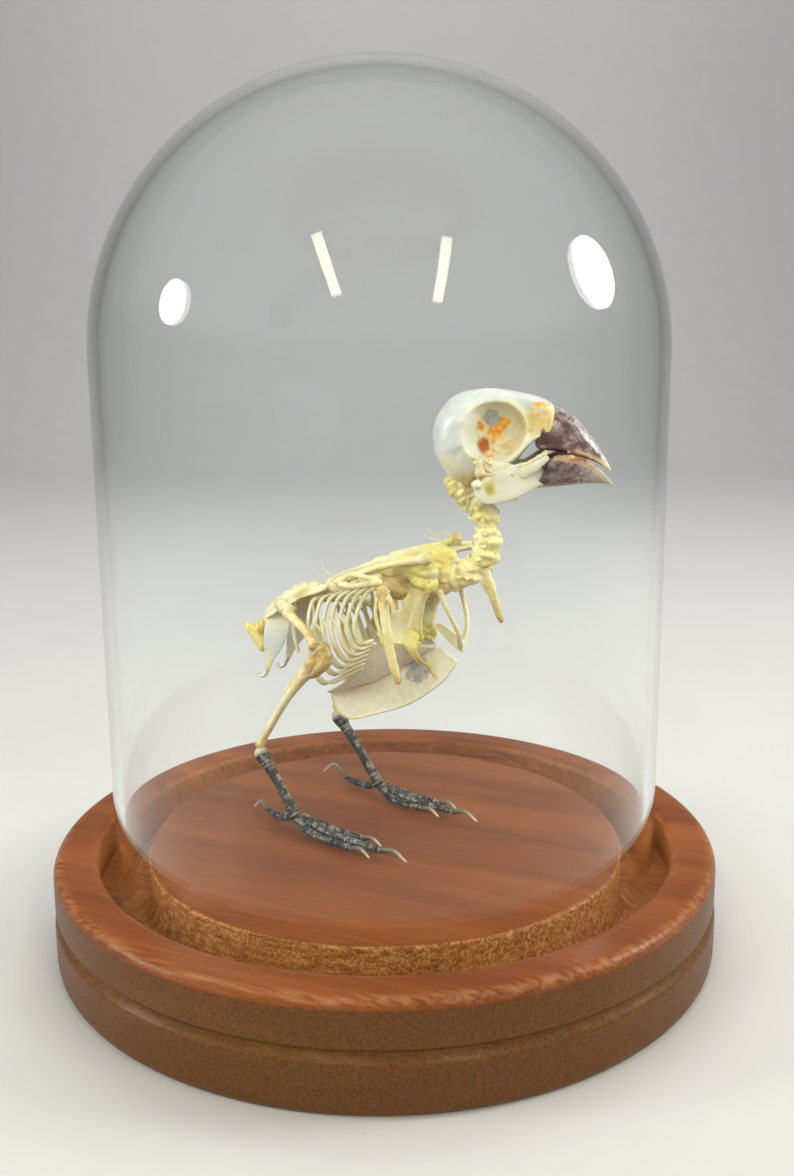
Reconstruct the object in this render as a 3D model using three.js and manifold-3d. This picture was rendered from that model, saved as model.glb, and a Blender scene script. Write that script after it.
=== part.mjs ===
// A small finch's skeleton, standing on the round wooden base of its glass dome.
// Millimetres, +Z up. The origin is the centre of the base's underside. The bird faces +X, and
// "left" is the bird's own left, +Y.
import * as THREE from "three";
import * as BufferGeometryUtils from "three/addons/utils/BufferGeometryUtils.js";
import Module from "manifold-3d";

const wasm = await Module();
wasm.setup();

// ---- driving dimensions ----
const BASE_RADIUS = 61.2; // outside of both tiers of the turned base
const BASE_HEIGHT = 18.5; // top of the rim round the groove
const TIER_HEIGHT = 9.9; // height of the small groove between the two tiers
const TIER_GROOVE = 1.1; // depth of that groove
const RIM_INNER_RADIUS = 53.2; // outer wall of the groove that the dome sits in
const PLATEAU_RADIUS = 44.3; // raised middle that the bird stands on
const PLATEAU_HEIGHT = 17.9;
const GROOVE_FLOOR = 10.9;
const EDGE = 0.9; // rounding of the turned edges
const BASE_SIDES = 36;
const DOME_RADIUS = 50;
const DOME_WALL = 1.8;
const DOME_STRAIGHT = 106.2; // height at which the straight wall turns into the cap
const DOME_CAP = 48.5; // rise of the cap
const DOME_SIDES = 32;
const DOME_CAP_STEPS = 7;
const GAP = 0.3; // clearance left where two pieces touch
const BIRD_Y = 5.3; // the bird's middle plane, to the left of the base's centre
const HEAD_TURN = 18; // degrees the head turns to the bird's left
const HEAD_JOINT = [15.1, 0, 82.9]; // top of the neck
const BONE_SIDES = 8;
const FINE_SIDES = 6;

// ---- colours ----
const BONE = 0xe9dfc0;
const OCHRE_BONE = 0xdcc98e;
const CRANIUM = 0xdfe1de;
const HORN = 0x4a2a26;
const SCALE = 0x3c3b3d;
const CLAW = 0x9a8468;
const WOOD = 0xa2532c;
const GLASS = 0xe6f0ee;

const root = new THREE.Group();
root.name = "finch_skeleton_under_dome";
const bird = new THREE.Group();
bird.position.y = BIRD_Y;
root.add(bird);
const head = new THREE.Group();
head.position.set(...HEAD_JOINT);
head.rotation.z = THREE.MathUtils.degToRad(HEAD_TURN);
bird.add(head);

function addMesh(parent, name, geometry, color, roughness = 0.55) {
  const material = new THREE.MeshStandardMaterial({ color, roughness, metalness: 0 });
  const mesh = new THREE.Mesh(geometry, material);
  mesh.name = name;
  parent.add(mesh);
  return mesh;
}

const V = (x, y, z) => new THREE.Vector3(x, y, z);
const lerp = THREE.MathUtils.lerp;
// [x, y, z] with y turned to the side given: 1 for the bird's left, -1 for its right.
const sided = (side, list) => list.map(([x, y, z]) => [x, y * side, z]);

// ---- joining and cutting ----
function toSolid(geometry) {
  const bare = geometry.clone();
  bare.deleteAttribute("normal");
  bare.deleteAttribute("uv");
  const merged = BufferGeometryUtils.mergeVertices(bare, 1e-4);
  return new wasm.Manifold(
    new wasm.Mesh({
      numProp: 3,
      vertProperties: new Float32Array(merged.attributes.position.array),
      triVerts: new Uint32Array(merged.index.array),
    }),
  );
}

function toGeometry(solid) {
  const mesh = solid.getMesh();
  const geometry = new THREE.BufferGeometry();
  geometry.setAttribute("position", new THREE.BufferAttribute(mesh.vertProperties, 3));
  geometry.setIndex(new THREE.BufferAttribute(mesh.triVerts, 1));
  geometry.computeVertexNormals();
  return geometry;
}

function joined(geometries) {
  const solids = geometries.map(toSolid);
  return toGeometry(solids.reduce((whole, next) => whole.add(next)));
}

function cut(geometry, cutters) {
  const start = toSolid(geometry);
  return toGeometry(cutters.map(toSolid).reduce((left, cutter) => left.subtract(cutter), start));
}

// ---- shapes ----
// A closed body swept from a capped cylinder. sectionAt(t), t from 0 to 1, gives the section's
// centre and its two half axes u and v, where u x (way along) points the same way as v.
function swept(sectionAt, steps, sides = BONE_SIDES) {
  const geometry = new THREE.CylinderGeometry(1, 1, 1, sides, steps);
  const position = geometry.attributes.position;
  for (let i = 0; i < position.count; i++) {
    const t = position.getY(i) + 0.5;
    const { centre, u, v } = sectionAt(t);
    const place = centre
      .clone()
      .addScaledVector(u, position.getX(i))
      .addScaledVector(v, position.getZ(i));
    position.setXYZ(i, place.x, place.y, place.z);
  }
  return geometry;
}

// A bone along a smooth line through the points. radius(t) is its half width, flat is thickness
// over width, and across is the way its width runs.
function bone(points, radius, { flat = 1, across = [0, 1, 0], steps = 6, sides = BONE_SIDES } = {}) {
  const curve = new THREE.CatmullRomCurve3(points.map((p) => V(...p)));
  const wide = V(...across);
  return swept(
    (t) => {
      const along = curve.getTangent(t);
      const u = wide.clone().addScaledVector(along, -wide.dot(along)).normalize();
      const v = u.clone().cross(along);
      const half = radius(t);
      u.multiplyScalar(half);
      v.multiplyScalar(half * flat);
      return { centre: curve.getPoint(t), u, v };
    },
    steps,
    sides,
  );
}

// Half width of a long bone: a shaft with a knob at each end, drawn in at the very tips.
function shaft(middle, startKnob, endKnob, reach = 0.16) {
  return (t) => {
    const start = (startKnob - middle) * Math.exp(-((t / reach) ** 2));
    const end = (endKnob - middle) * Math.exp(-(((1 - t) / reach) ** 2));
    const tip = t < 0.01 || t > 0.99 ? 0.62 : 1;
    return (middle + start + end) * tip;
  };
}

// Half width that runs from one size to another and is drawn in at the far end.
const tapered = (start, end) => (t) => lerp(start, end, t ** 1.2);

function ball(x, y, z, rx, ry, rz, across, up) {
  const geometry = new THREE.SphereGeometry(1, across, up);
  geometry.rotateX(Math.PI / 2);
  geometry.scale(rx, ry, rz);
  geometry.translate(x, y, z);
  return geometry;
}

// An outline in the XZ plane, thick millimetres wide and centred on y = 0.
function blade(outline, thick) {
  const shape = new THREE.Shape(outline.map(([x, z]) => new THREE.Vector2(x, z)));
  const geometry = new THREE.ExtrudeGeometry(shape, { depth: thick, bevelEnabled: false });
  geometry.translate(0, 0, -thick / 2);
  geometry.rotateX(Math.PI / 2);
  return geometry;
}

// Smooth reading of a table of [t, value] knots.
function table(knots) {
  return (t) => {
    const next = knots.findIndex(([at]) => at >= t);
    if (next <= 0) return knots[next === 0 ? 0 : knots.length - 1][1];
    const [t0, a] = knots[next - 1];
    const [t1, b] = knots[next];
    return lerp(a, b, (t - t0) / (t1 - t0));
  };
}

// ---- stand: the turned base and the dome ----
function turned(profile, sides) {
  const geometry = new THREE.LatheGeometry(profile.map(([r, z]) => new THREE.Vector2(r, z)), sides);
  geometry.rotateX(Math.PI / 2);
  return geometry;
}

const baseProfile = [
  [0, 0],
  [BASE_RADIUS - EDGE, 0],
  [BASE_RADIUS, EDGE],
  [BASE_RADIUS, TIER_HEIGHT - 1.2],
  [BASE_RADIUS - TIER_GROOVE, TIER_HEIGHT],
  [BASE_RADIUS - 0.2, TIER_HEIGHT + 0.6],
  [BASE_RADIUS - 0.2, BASE_HEIGHT - EDGE],
  [BASE_RADIUS - 0.2 - EDGE, BASE_HEIGHT],
  [RIM_INNER_RADIUS + EDGE, BASE_HEIGHT],
  [RIM_INNER_RADIUS, BASE_HEIGHT - EDGE],
  [RIM_INNER_RADIUS, GROOVE_FLOOR],
  [PLATEAU_RADIUS, GROOVE_FLOOR],
  [PLATEAU_RADIUS, PLATEAU_HEIGHT - EDGE / 2],
  [PLATEAU_RADIUS - EDGE / 2, PLATEAU_HEIGHT],
  [0, PLATEAU_HEIGHT],
];
addMesh(root, "stand_base", turned(baseProfile, BASE_SIDES), WOOD, 0.5);

function domeLine(radius, cap, foot) {
  const line = [[radius, foot]];
  for (let i = 0; i <= DOME_CAP_STEPS; i++) {
    const angle = (i / DOME_CAP_STEPS) * (Math.PI / 2);
    const r = i === DOME_CAP_STEPS ? 0 : radius * Math.cos(angle);
    line.push([r, DOME_STRAIGHT + cap * Math.sin(angle)]);
  }
  return line;
}
const domeFoot = GROOVE_FLOOR + GAP;
const domeInside = domeLine(DOME_RADIUS - DOME_WALL, DOME_CAP - DOME_WALL, domeFoot).reverse();
const domeOutside = domeLine(DOME_RADIUS, DOME_CAP, domeFoot);
addMesh(root, "stand_dome", turned([...domeInside, ...domeOutside], DOME_SIDES), GLASS, 0.05);

// ---- head, in its own frame: X to the bill's tip, Z up from the joint with the neck ----
const ORBIT = [4, 10.3]; // centre of the eye socket, X and Z
const ORBIT_RADIUS = 5.2;
const SEPTUM = 0.9; // bone left between the two sockets
const BILL_BACK = 14.4; // where horn meets bone
const JAW_FRONT = 10.2;

const faceTop = table([[0, 17.6], [0.35, 17.5], [0.7, 16.5], [1, 14.6]]);
const faceBottom = table([[0, 4.4], [0.4, 5.6], [0.75, 8], [1, 8.6]]);
const faceWide = table([[0, 4.6], [0.3, 3.3], [0.6, 3.4], [1, 4.3]]);
const face = swept(
  (t) => {
    const top = faceTop(t);
    const bottom = faceBottom(t);
    return {
      centre: V(lerp(2, BILL_BACK - GAP, t), 0, (top + bottom) / 2),
      u: V(0, faceWide(t), 0),
      v: V(0, 0, -(top - bottom) / 2),
    };
  },
  5,
  10,
);
const braincase = ball(0.5, 0, 9.3, 7.2, 7.6, 8.1, 14, 8);
const neckJoint = ball(-0.4, 0, 1.6, 2.2, 2.2, 1.5, 10, 6);
const cheekBar = (side) =>
  bone(sided(side, [[1.6, 6, 3.2], [5, 5.6, 4.6], [9, 4.7, 6.2], [13.2, 3.9, 8.4]]), () => 0.5, {
    steps: 4,
    sides: FINE_SIDES,
  });
const quadrate = (side) => ball(1.6, 6 * side, 4, 1.2, 1, 2.2, 6, 5);
const socket = (side) => {
  const deep = 7;
  return ball(ORBIT[0], side * (deep + SEPTUM / 2), ORBIT[1], ORBIT_RADIUS, deep, ORBIT_RADIUS, 12, 7);
};
const skullBody = joined([
  cut(joined([braincase, face]), [socket(1), socket(-1)]),
  neckJoint,
  cheekBar(1),
  cheekBar(-1),
  quadrate(1),
  quadrate(-1),
]);
addMesh(head, "skull", skullBody, CRANIUM, 0.35);

// Half of a bill: a section narrow at the ridge and wide at the cutting edge.
function bill(xStart, xEnd, ridge, edge, wide, steps) {
  return swept(
    (t) => {
      const a = ridge(t);
      const b = edge(t);
      return {
        centre: V(lerp(xStart, xEnd, t), 0, (a + b) / 2),
        u: V(0, wide(t), 0),
        v: V(0, 0, -(a - b) / 2),
      };
    },
    steps,
    12,
  );
}
const culmen = table([[0, 14.5], [0.22, 13.7], [0.45, 11.9], [0.65, 9], [0.82, 6.9], [0.96, 4.7], [1, 3.7]]);
const upperEdge = table([[0, 7.6], [0.4, 6.4], [0.65, 5.7], [0.82, 4.8], [1, 3.2]]);
const upperWide = table([[0, 4.8], [0.4, 3.8], [0.75, 1.9], [1, 0.35]]);
addMesh(head, "bill_upper", bill(BILL_BACK, 24.9, culmen, upperEdge, upperWide, 8), HORN, 0.35);

const lowerTop = table([[0, 4.2], [0.22, 6.2], [0.55, 5.7], [0.73, 4.6], [0.87, 3.1], [1, 1.1]]);
const lowerBottom = table([[0, 0.2], [0.3, 0.5], [0.85, 1], [1, 0.7]]);
const lowerWide = table([[0, 4.7], [0.4, 4], [0.75, 2.2], [1, 0.35]]);
const lowerBill = bill(JAW_FRONT + GAP, 25.3, lowerTop, lowerBottom, lowerWide, 8);
addMesh(head, "bill_lower", lowerBill, HORN, 0.35);

// The two rami of the jaw and the bone that joins them behind the horn.
const ramus = (side) =>
  swept(
    (t) => ({
      centre: V(lerp(0.6, JAW_FRONT, t), side * lerp(6.2, 4.2, t), lerp(0.2, 2.2, t)),
      u: V(0, 0.45, 0),
      v: V(0, 0, -table([[0, 1.2], [0.3, 2], [0.7, 2.3], [1, 2]])(t)),
    }),
    5,
  );
const chinLine = [[JAW_FRONT - 0.8, -4.1, 1], [JAW_FRONT - 0.4, 0, 0.8], [JAW_FRONT - 0.8, 4.1, 1]];
const chin = bone(chinLine, () => 0.6, { across: [0, 0, 1], steps: 4 });
addMesh(head, "jaw", joined([ramus(1), ramus(-1), chin]), BONE);

// ---- neck, in three lengths of joined vertebrae ----
const NECK_LINE = [
  [15, 0, 82.2],
  [17.7, 0, 78.6],
  [18.6, 0, 74.8],
  [17.5, 0, 70.6],
  [14.2, 0, 67.3],
  [9, 0, 65.9],
];
const NECK_RADIUS = 1.8;
const NECK_KNOBS = 3; // vertebrae in each length
const neckCurve = new THREE.CatmullRomCurve3(NECK_LINE.map((p) => V(...p)));
const neckGap = (1.2 * GAP) / neckCurve.getLength();
["neck_upper", "neck_middle", "neck_lower"].forEach((name, i) => {
  const from = i / 3 + neckGap;
  const to = (i + 1) / 3 - neckGap;
  const line = [0, 0.34, 0.67, 1].map((t) => neckCurve.getPointAt(lerp(from, to, t)).toArray());
  const knobbed = (t) => NECK_RADIUS + 0.35 * Math.abs(Math.cos(Math.PI * NECK_KNOBS * t));
  addMesh(bird, name, bone(line, knobbed, { steps: 2 * NECK_KNOBS }), OCHRE_BONE);
});

// ---- rib cage: each side is its half of the backbone with seven ribs ----
const RIBS = 7;
const BACKBONE = [[8.4, 0, 65.8], [1.3, 0, 65.4], [-4, 0, 65], [-9.1, 0, 64], [-14.6, 0, 62.2]];
const BACKBONE_RADIUS = 1.9;
const RIB_HALF_WIDTH = 0.45;
const ribRoot = (t) => [lerp(-14.2, -3.2, t), 0.9, lerp(61.8, 64, t)];
const ribShoulder = (t) => [lerp(-15, -3.6, t), lerp(5, 6, t), lerp(60.6, 62.8, t)];
const ribSide = (t) => [lerp(-14.6, -4.4, t), lerp(7.4, 8.2, t), lerp(54, 58.4, t)];
const ribBend = (t) => [lerp(-11.8, -3.2, t), lerp(7.4, 8, t), lerp(46.3, 54.8, t ** 0.8)];
const ribEnd = (t) => [lerp(-3.4, -0.9, t), lerp(6.6, 7.4, t), lerp(49.6, 55.3, t)];
function ribCage(side) {
  const half = bone(
    BACKBONE.map(([x, , z]) => [x, side * (GAP / 2 + BACKBONE_RADIUS / 2), z]),
    () => BACKBONE_RADIUS / 2,
    { flat: 1.5, steps: 8 },
  );
  const pieces = [half];
  const ribShape = { flat: 0.6, across: [1, 0, 0.2], steps: 6, sides: 4 };
  for (let i = 0; i < RIBS; i++) {
    const t = i / (RIBS - 1);
    const line = [ribRoot(t), ribShoulder(t), ribSide(t), ribBend(t), ribEnd(t)];
    pieces.push(bone(sided(side, line), () => RIB_HALF_WIDTH, ribShape));
  }
  return joined(pieces);
}
addMesh(bird, "rib_cage_left", ribCage(1), BONE);
addMesh(bird, "rib_cage_right", ribCage(-1), BONE);

// ---- breastbone: a shallow trough with its keel ----
const STERNUM_FRONT = [8.4, 53.4]; // X and Z of the trough's middle line
const STERNUM_REAR = [-13.6, 42.2];
const STERNUM_THICK = 0.7;
const sternumWide = table([[0, 3.4], [0.15, 5], [0.45, 6.4], [0.75, 4.6], [1, 2]]);
const sternumRise = table([[0, 0.6], [0.25, 5], [0.42, 6.4], [0.6, 3.6], [0.8, 1.6], [1, 0.5]]);
// A flat strip bent to the trough: x runs along it, y across it, and z through its thickness.
function trough() {
  const geometry = new THREE.BoxGeometry(1, 2, STERNUM_THICK, 8, 6, 1);
  const position = geometry.attributes.position;
  for (let i = 0; i < position.count; i++) {
    const t = 0.5 - position.getX(i);
    const w = position.getY(i);
    const lift = sternumRise(t) * w ** 2 - 1.4 * Math.sin(Math.PI * t);
    const x = lerp(STERNUM_FRONT[0], STERNUM_REAR[0], t);
    const z = lerp(STERNUM_FRONT[1], STERNUM_REAR[1], t) + lift + position.getZ(i);
    position.setXYZ(i, x, w * sternumWide(t), z);
  }
  return geometry;
}
const KEEL_EDGE = [
  [-14, 42.1],
  [-12.9, 38.7],
  [-11.2, 37.4],
  [-9.2, 37],
  [-5.3, 38.2],
  [1.1, 40.5],
  [5.2, 42.8],
  [9.3, 46],
  [11.6, 48.8],
  [12.7, 50.9],
  [11, 52],
  [8.2, 53.1],
  [2, 49],
  [-5, 45],
];
addMesh(bird, "sternum", joined([trough(), blade(KEEL_EDGE, 0.9)]), BONE, 0.4);

// ---- pelvis: the fused backbone, the two hip blades and the leaf-shaped bones behind ----
const synsacrumLine = [[-15.2, 0, 62.6], [-19.9, 0, 61.4], [-24.5, 0, 58.6], [-27.3, 0, 56]];
const synsacrum = bone(synsacrumLine, tapered(2, 1.3), { steps: 4 });
function hipSide(side) {
  const roof = bone(
    sided(side, [[-13.8, 3.3, 63.3], [-17.6, 3.2, 62], [-21.8, 3.6, 59.6], [-25.8, 3.4, 56.8]]),
    table([[0, 1], [0.2, 1.9], [0.7, 2.7], [1, 1.6]]),
    { flat: 0.4, steps: 4, sides: FINE_SIDES },
  );
  const leaf = bone(
    sided(side, [[-21.8, 4.4, 59.4], [-23, 4.9, 54.2], [-24.8, 4.4, 49.8], [-25.6, 4, 46.4]]),
    table([[0, 2.6], [0.35, 2.4], [0.75, 0.9], [1, 0.4]]),
    { flat: 0.22, across: [1, 0, 0], steps: 5, sides: FINE_SIDES },
  );
  const hook = bone(sided(side, [[-25.5, 4, 46.6], [-26.3, 3.9, 45.2], [-27.5, 3.8, 45.4]]), () => 0.4, {
    across: [1, 0, 0],
    steps: 3,
    sides: FINE_SIDES,
  });
  const thinBone = bone(
    sided(side, [[-19.2, 4, 61.4], [-18.8, 4.9, 55], [-18.2, 4.6, 50.8]]),
    () => 0.38,
    { across: [1, 0, 0], steps: 3, sides: FINE_SIDES },
  );
  return [roof, leaf, hook, thinBone];
}
addMesh(bird, "pelvis", joined([synsacrum, ...hipSide(1), ...hipSide(-1)]), BONE);

// ---- tail: small vertebrae and the upright plate at their end ----
const tailLine = [[-27.4, 0, 54.6], [-28.6, 0, 53.6], [-30.2, 0, 52.8]];
const tailRoot = bone(tailLine, tapered(1.3, 1.1), { steps: 3 });
const TAIL_EDGE = [
  [-29, 53.2],
  [-32.4, 54.1],
  [-32.6, 53.3],
  [-30.8, 50.8],
  [-29.4, 49.2],
  [-28.4, 49.6],
];
const tailPlate = blade(TAIL_EDGE, 1.3);
addMesh(bird, "tail", joined([tailRoot, tailPlate]), OCHRE_BONE);

// ---- shoulder girdle and limbs, the same on both sides except where the pose differs ----
const POSE = {
  left: {
    side: 1,
    shoulder: [11, 7, 73],
    elbow: [-9.4, 9, 66.4],
    wrist: [10.6, 18, 70],
    fingers: [[10.9, 18, 68.8], [12.4, 17.6, 64.4], [14, 17, 60], [16, 16.8, 54.8]],
    knee: [-6.5, 11.5, 57.7],
    ankle: [-18.5, 11, 34.6],
    toes: [-7.5, 9.4, 19.9],
    lengths: { hallux: 8.8, toe_inner: 11, toe_middle: 16.8, toe_outer: 12 },
    hindClaw: 8.2,
  },
  right: {
    side: -1,
    shoulder: [11, 7, 71.4],
    elbow: [-8.8, 9, 65.5],
    wrist: [5.2, 18, 68.4],
    fingers: [[5.5, 18, 67.2], [6, 18, 62.4], [6.6, 17.8, 57], [8.2, 17.2, 50.4]],
    knee: [-9.6, 12, 52.8],
    ankle: [-24.8, 10, 32.4],
    toes: [-15.5, 11.8, 19.9],
    lengths: { hallux: 7.6, toe_inner: 13, toe_middle: 19.2, toe_outer: 14.4 },
    hindClaw: 4.8,
  },
};

// The point on the line from a to b that lies the given distance past a.
function past(a, b, distance) {
  const from = V(...a);
  return from.addScaledVector(V(...b).sub(from).normalize(), distance).toArray();
}

// Toes in the foot's own frame: turn from straight ahead, place across the foot, claw and radius.
// Across counts from the middle toe, towards the bird's own middle on each foot.
const FOOT_TURN = -15;
const TOES = [
  { name: "hallux", turn: 172, across: 0, claw: 0, radius: 0.75 },
  { name: "toe_inner", turn: 2, across: 1.9, claw: 4.4, radius: 0.75 },
  { name: "toe_middle", turn: 0, across: 0, claw: 6, radius: 0.8 },
  { name: "toe_outer", turn: -2, across: -1.9, claw: 4.4, radius: 0.75 },
];
const FOOT_CLEAR = PLATEAU_HEIGHT + GAP;

for (const [label, pose] of Object.entries(POSE)) {
  const side = pose.side;
  const at = (point) => [point[0], point[1] * side, point[2]];
  const shoulder = at(pose.shoulder);
  const elbow = at(pose.elbow);
  const wrist = at(pose.wrist);
  const knee = at(pose.knee);
  const ankle = at(pose.ankle);
  const toeJoint = at(pose.toes);
  const hip = at([-20.3, 6.4, 59.4]);
  const bow = V(...knee).lerp(V(...ankle), 0.45).add(V(-0.9, 0, 0)).toArray(); // the shin bends a little
  const strutLine = sided(side, [[10, 6, 69.4], [7.4, 4.9, 63.4], [5.7, 3.4, 58], [5.3, 2.9, 54.6]]);
  const bladeLine = sided(side, [[8, 6.2, 70.5], [1, 5.6, 69], [-5, 5, 67.3], [-10.4, 4.4, 65.7]]);
  const armLine = [past(shoulder, elbow, 0.4), at([1.4, 9.2, 69.4]), past(elbow, shoulder, 1)];
  const forearmLine = [past(elbow, wrist, 3.8), past(wrist, elbow, 9), past(wrist, elbow, 1.3)];
  const handWidth = table([[0, 0.7], [0.08, 1.25], [0.5, 1.05], [0.85, 0.8], [1, 0.25]]);

  addMesh(
    bird,
    "coracoid_" + label,
    bone(strutLine, shaft(1.1, 1.6, 1.9, 0.3), { flat: 0.6, across: [0.9, 0.4, 0] }),
    OCHRE_BONE,
  );
  addMesh(
    bird,
    "scapula_" + label,
    bone(bladeLine, shaft(1.05, 1.3, 0.5, 0.3), { flat: 0.4, across: [0, 0.5, 0.85] }),
    BONE,
  );
  addMesh(
    bird,
    "humerus_" + label,
    bone(armLine, shaft(0.8, 1.6, 1.2), { flat: 0.85 }),
    BONE,
  );
  addMesh(
    bird,
    "forearm_" + label,
    bone(forearmLine, shaft(0.75, 1.15, 0.95), { across: [0, 0, 1] }),
    BONE,
  );
  addMesh(
    bird,
    "hand_" + label,
    bone(sided(side, pose.fingers), handWidth, { flat: 0.65, across: [1, 0, 0] }),
    OCHRE_BONE,
  );
  addMesh(
    bird,
    "femur_" + label,
    bone([hip, knee].map((p, i) => past(p, i ? hip : knee, i ? 1.5 : 0.2)), shaft(0.9, 1.2, 1.5)),
    BONE,
  );
  addMesh(
    bird,
    "tibia_" + label,
    bone([past(knee, ankle, 0.6), bow, past(ankle, knee, 1)], shaft(0.85, 1.75, 1.2)),
    BONE,
  );
  addMesh(
    bird,
    "tarsus_" + label,
    bone([past(ankle, toeJoint, 0.9), past(toeJoint, ankle, 1.9)], shaft(1, 1.35, 1.3)),
    SCALE,
    0.5,
  );

  TOES.forEach((toe) => {
    const hind = toe.name === "hallux";
    const angle = THREE.MathUtils.degToRad(FOOT_TURN + (hind ? toe.turn : -side * toe.turn));
    const ahead = V(Math.cos(angle), Math.sin(angle), 0);
    const aside = V(-Math.sin(angle), Math.cos(angle), 0);
    const length = pose.lengths[toe.name];
    const claw = hind ? pose.hindClaw : toe.claw;
    const low = FOOT_CLEAR + toe.radius;
    const clear = hind ? 1.2 : 1.7;
    const place = (along, z) => [
      toeJoint[0] + ahead.x * (along + clear) - aside.x * side * toe.across,
      toeJoint[1] + ahead.y * (along + clear) - aside.y * side * toe.across,
      z,
    ];
    const pads = (t) => toe.radius * (t > 0.99 ? 0.7 : 0.86 + 0.14 * Math.abs(Math.cos(3 * Math.PI * t)));
    const toeLine = [place(0, low + 0.5), place(length / 2, low), place(length, low)];
    addMesh(
      bird,
      `${toe.name}_${label}`,
      bone(toeLine, pads, { steps: 5, sides: FINE_SIDES }),
      SCALE,
      0.5,
    );
    const arch = claw * 0.24;
    addMesh(
      bird,
      `${toe.name}_claw_${label}`,
      bone(
        [
          place(length + GAP, low + 0.1),
          place(length + claw * 0.5, low + arch),
          place(length + claw, FOOT_CLEAR + 0.3),
        ],
        tapered(toe.radius * 0.7, 0.16),
        { steps: 4, sides: FINE_SIDES },
      ),
      CLAW,
      0.35,
    );
  });
}

// ---- wishbone ----
const wishbone = [[11, -4.8, 65.4], [12.1, -4.3, 61.6], [13.7, -2.6, 57.2], [13.3, 0, 53.4]];
const wishboneLine = [...wishbone, ...wishbone.slice(0, 3).reverse().map(([x, y, z]) => [x, -y, z])];
const wishboneArms = bone(wishboneLine, () => 0.55, { across: [1, 0, 0], steps: 12, sides: FINE_SIDES });
// The small plate where the arms join runs up and back.
const wishboneBlade = blade([[13.6, 52.8], [13.7, 54.6], [9.6, 57.6], [8.4, 57.2]], 0.8);
addMesh(bird, "wishbone", joined([wishboneArms, wishboneBlade]), BONE);

export default root;
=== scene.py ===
"""A small finch's skeleton, mounted on a round wooden base under a glass dome."""
import bpy
import numpy as np
from mathutils import Matrix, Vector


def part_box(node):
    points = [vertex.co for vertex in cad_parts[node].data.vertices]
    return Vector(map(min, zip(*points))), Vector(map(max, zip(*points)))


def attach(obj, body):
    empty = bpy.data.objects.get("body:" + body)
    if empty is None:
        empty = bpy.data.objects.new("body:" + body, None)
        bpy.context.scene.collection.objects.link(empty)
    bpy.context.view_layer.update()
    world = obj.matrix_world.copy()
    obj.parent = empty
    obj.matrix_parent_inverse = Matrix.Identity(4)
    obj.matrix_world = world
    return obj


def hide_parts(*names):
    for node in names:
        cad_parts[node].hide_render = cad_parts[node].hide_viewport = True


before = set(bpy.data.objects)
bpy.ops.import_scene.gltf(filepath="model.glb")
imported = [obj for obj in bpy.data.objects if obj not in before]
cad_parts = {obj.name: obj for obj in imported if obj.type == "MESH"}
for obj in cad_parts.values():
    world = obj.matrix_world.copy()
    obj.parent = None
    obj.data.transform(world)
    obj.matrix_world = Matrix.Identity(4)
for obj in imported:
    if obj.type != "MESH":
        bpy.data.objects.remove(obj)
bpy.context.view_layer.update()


# ---- the wooden base ----
# A disc of stained hardwood turned on a lathe: two tiers with a small groove between them, a deep
# groove for the dome, and a raised middle. Its top is lacquered; the groove's walls are bare wood.
BASE_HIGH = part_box("stand_base")[1]
DRAWN_R, DRAWN_HEIGHT = 0.0612, 0.0185  # metres, the size that the corners below are drawn to
GRAIN_TURN = 0.42  # radians from the bird's way to the grain
TURNED_COLUMNS = 224
BEND_POINTS = 6
# each corner of the turned profile: radius, height and rounding in mm, and bare wood's share
BASE_CORNERS = [
    (0.5, 0, 0, 0.4), (60.2, 0, 0.9, 0.4), (61.2, 1.2, 1.4, 0), (61.2, 8.4, 0.5, 0),
    (60.2, 9.6, 0.35, 0.5), (60.15, 10.1, 0.3, 0.1), (61, 10.9, 0.5, 0), (61, 17.2, 0.9, 0),
    (59.9, 18.5, 1.3, 0), (54.4, 18.5, 0.8, 0), (53.2, 17.6, 0.8, 0.3), (53.2, 10.9, 0.5, 0.3),
    (44.3, 10.9, 0.5, 0.7), (44.3, 17.3, 0.35, 1), (43.7, 17.9, 0.4, 0.1), (0.5, 17.9, 0, 0),
]
# edges lightened partly by wear and partly as a painted highlight: the top rim and the lower chamfer
WORN_AND_HIGHLIT_EDGES = [(60.3, 18.2, 0.9), (60.7, 9.1, 0.8)]  # radius and height in mm, and spread
SIDE_FROM_R, SIDE_TO_HEIGHT, MIDDLE_R = 59.6, 16.8, 44  # mm


def rounded_profile(corners):
    """Points of a profile of straight runs, each split in three: each corner is cut back by its
    rounding and bent as a quadratic Bezier curve."""
    c = np.array(corners, float)
    here, reach = c[1:-1, :2], c[1:-1, 2:3]
    ends = []
    for way in (c[:-2, :2] - here, c[2:, :2] - here):
        run = np.linalg.norm(way, axis=1)[:, None]
        ends.append((here + way / run * np.minimum(reach, run * 0.45))[:, None])
    u = np.linspace(0, 1, BEND_POINTS)[None, :, None]
    bent = (1 - u) ** 2 * ends[0] + 2 * u * (1 - u) * here[:, None] + u**2 * ends[1]
    bare = np.repeat(c[1:-1, None, 3:4], BEND_POINTS, axis=1)
    knots = np.concatenate([bent, bare], axis=2).reshape(-1, 3)
    knots = np.vstack([c[:1, [0, 1, 3]], knots, c[-1:, [0, 1, 3]]])
    share = np.arange(3 * len(knots) - 2) / 3
    return np.stack([np.interp(share, np.arange(len(knots)), column) for column in knots.T], axis=1)


def turned(line):
    """A line of radius and height carried round the upright axis: x = r cos a, y = r sin a."""
    a = np.linspace(0, 2 * np.pi, TURNED_COLUMNS, endpoint=False)
    r, z = line[:, :1], line[:, 1:2]
    return np.stack([r * np.cos(a), r * np.sin(a), z + 0 * a], -1)


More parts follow.
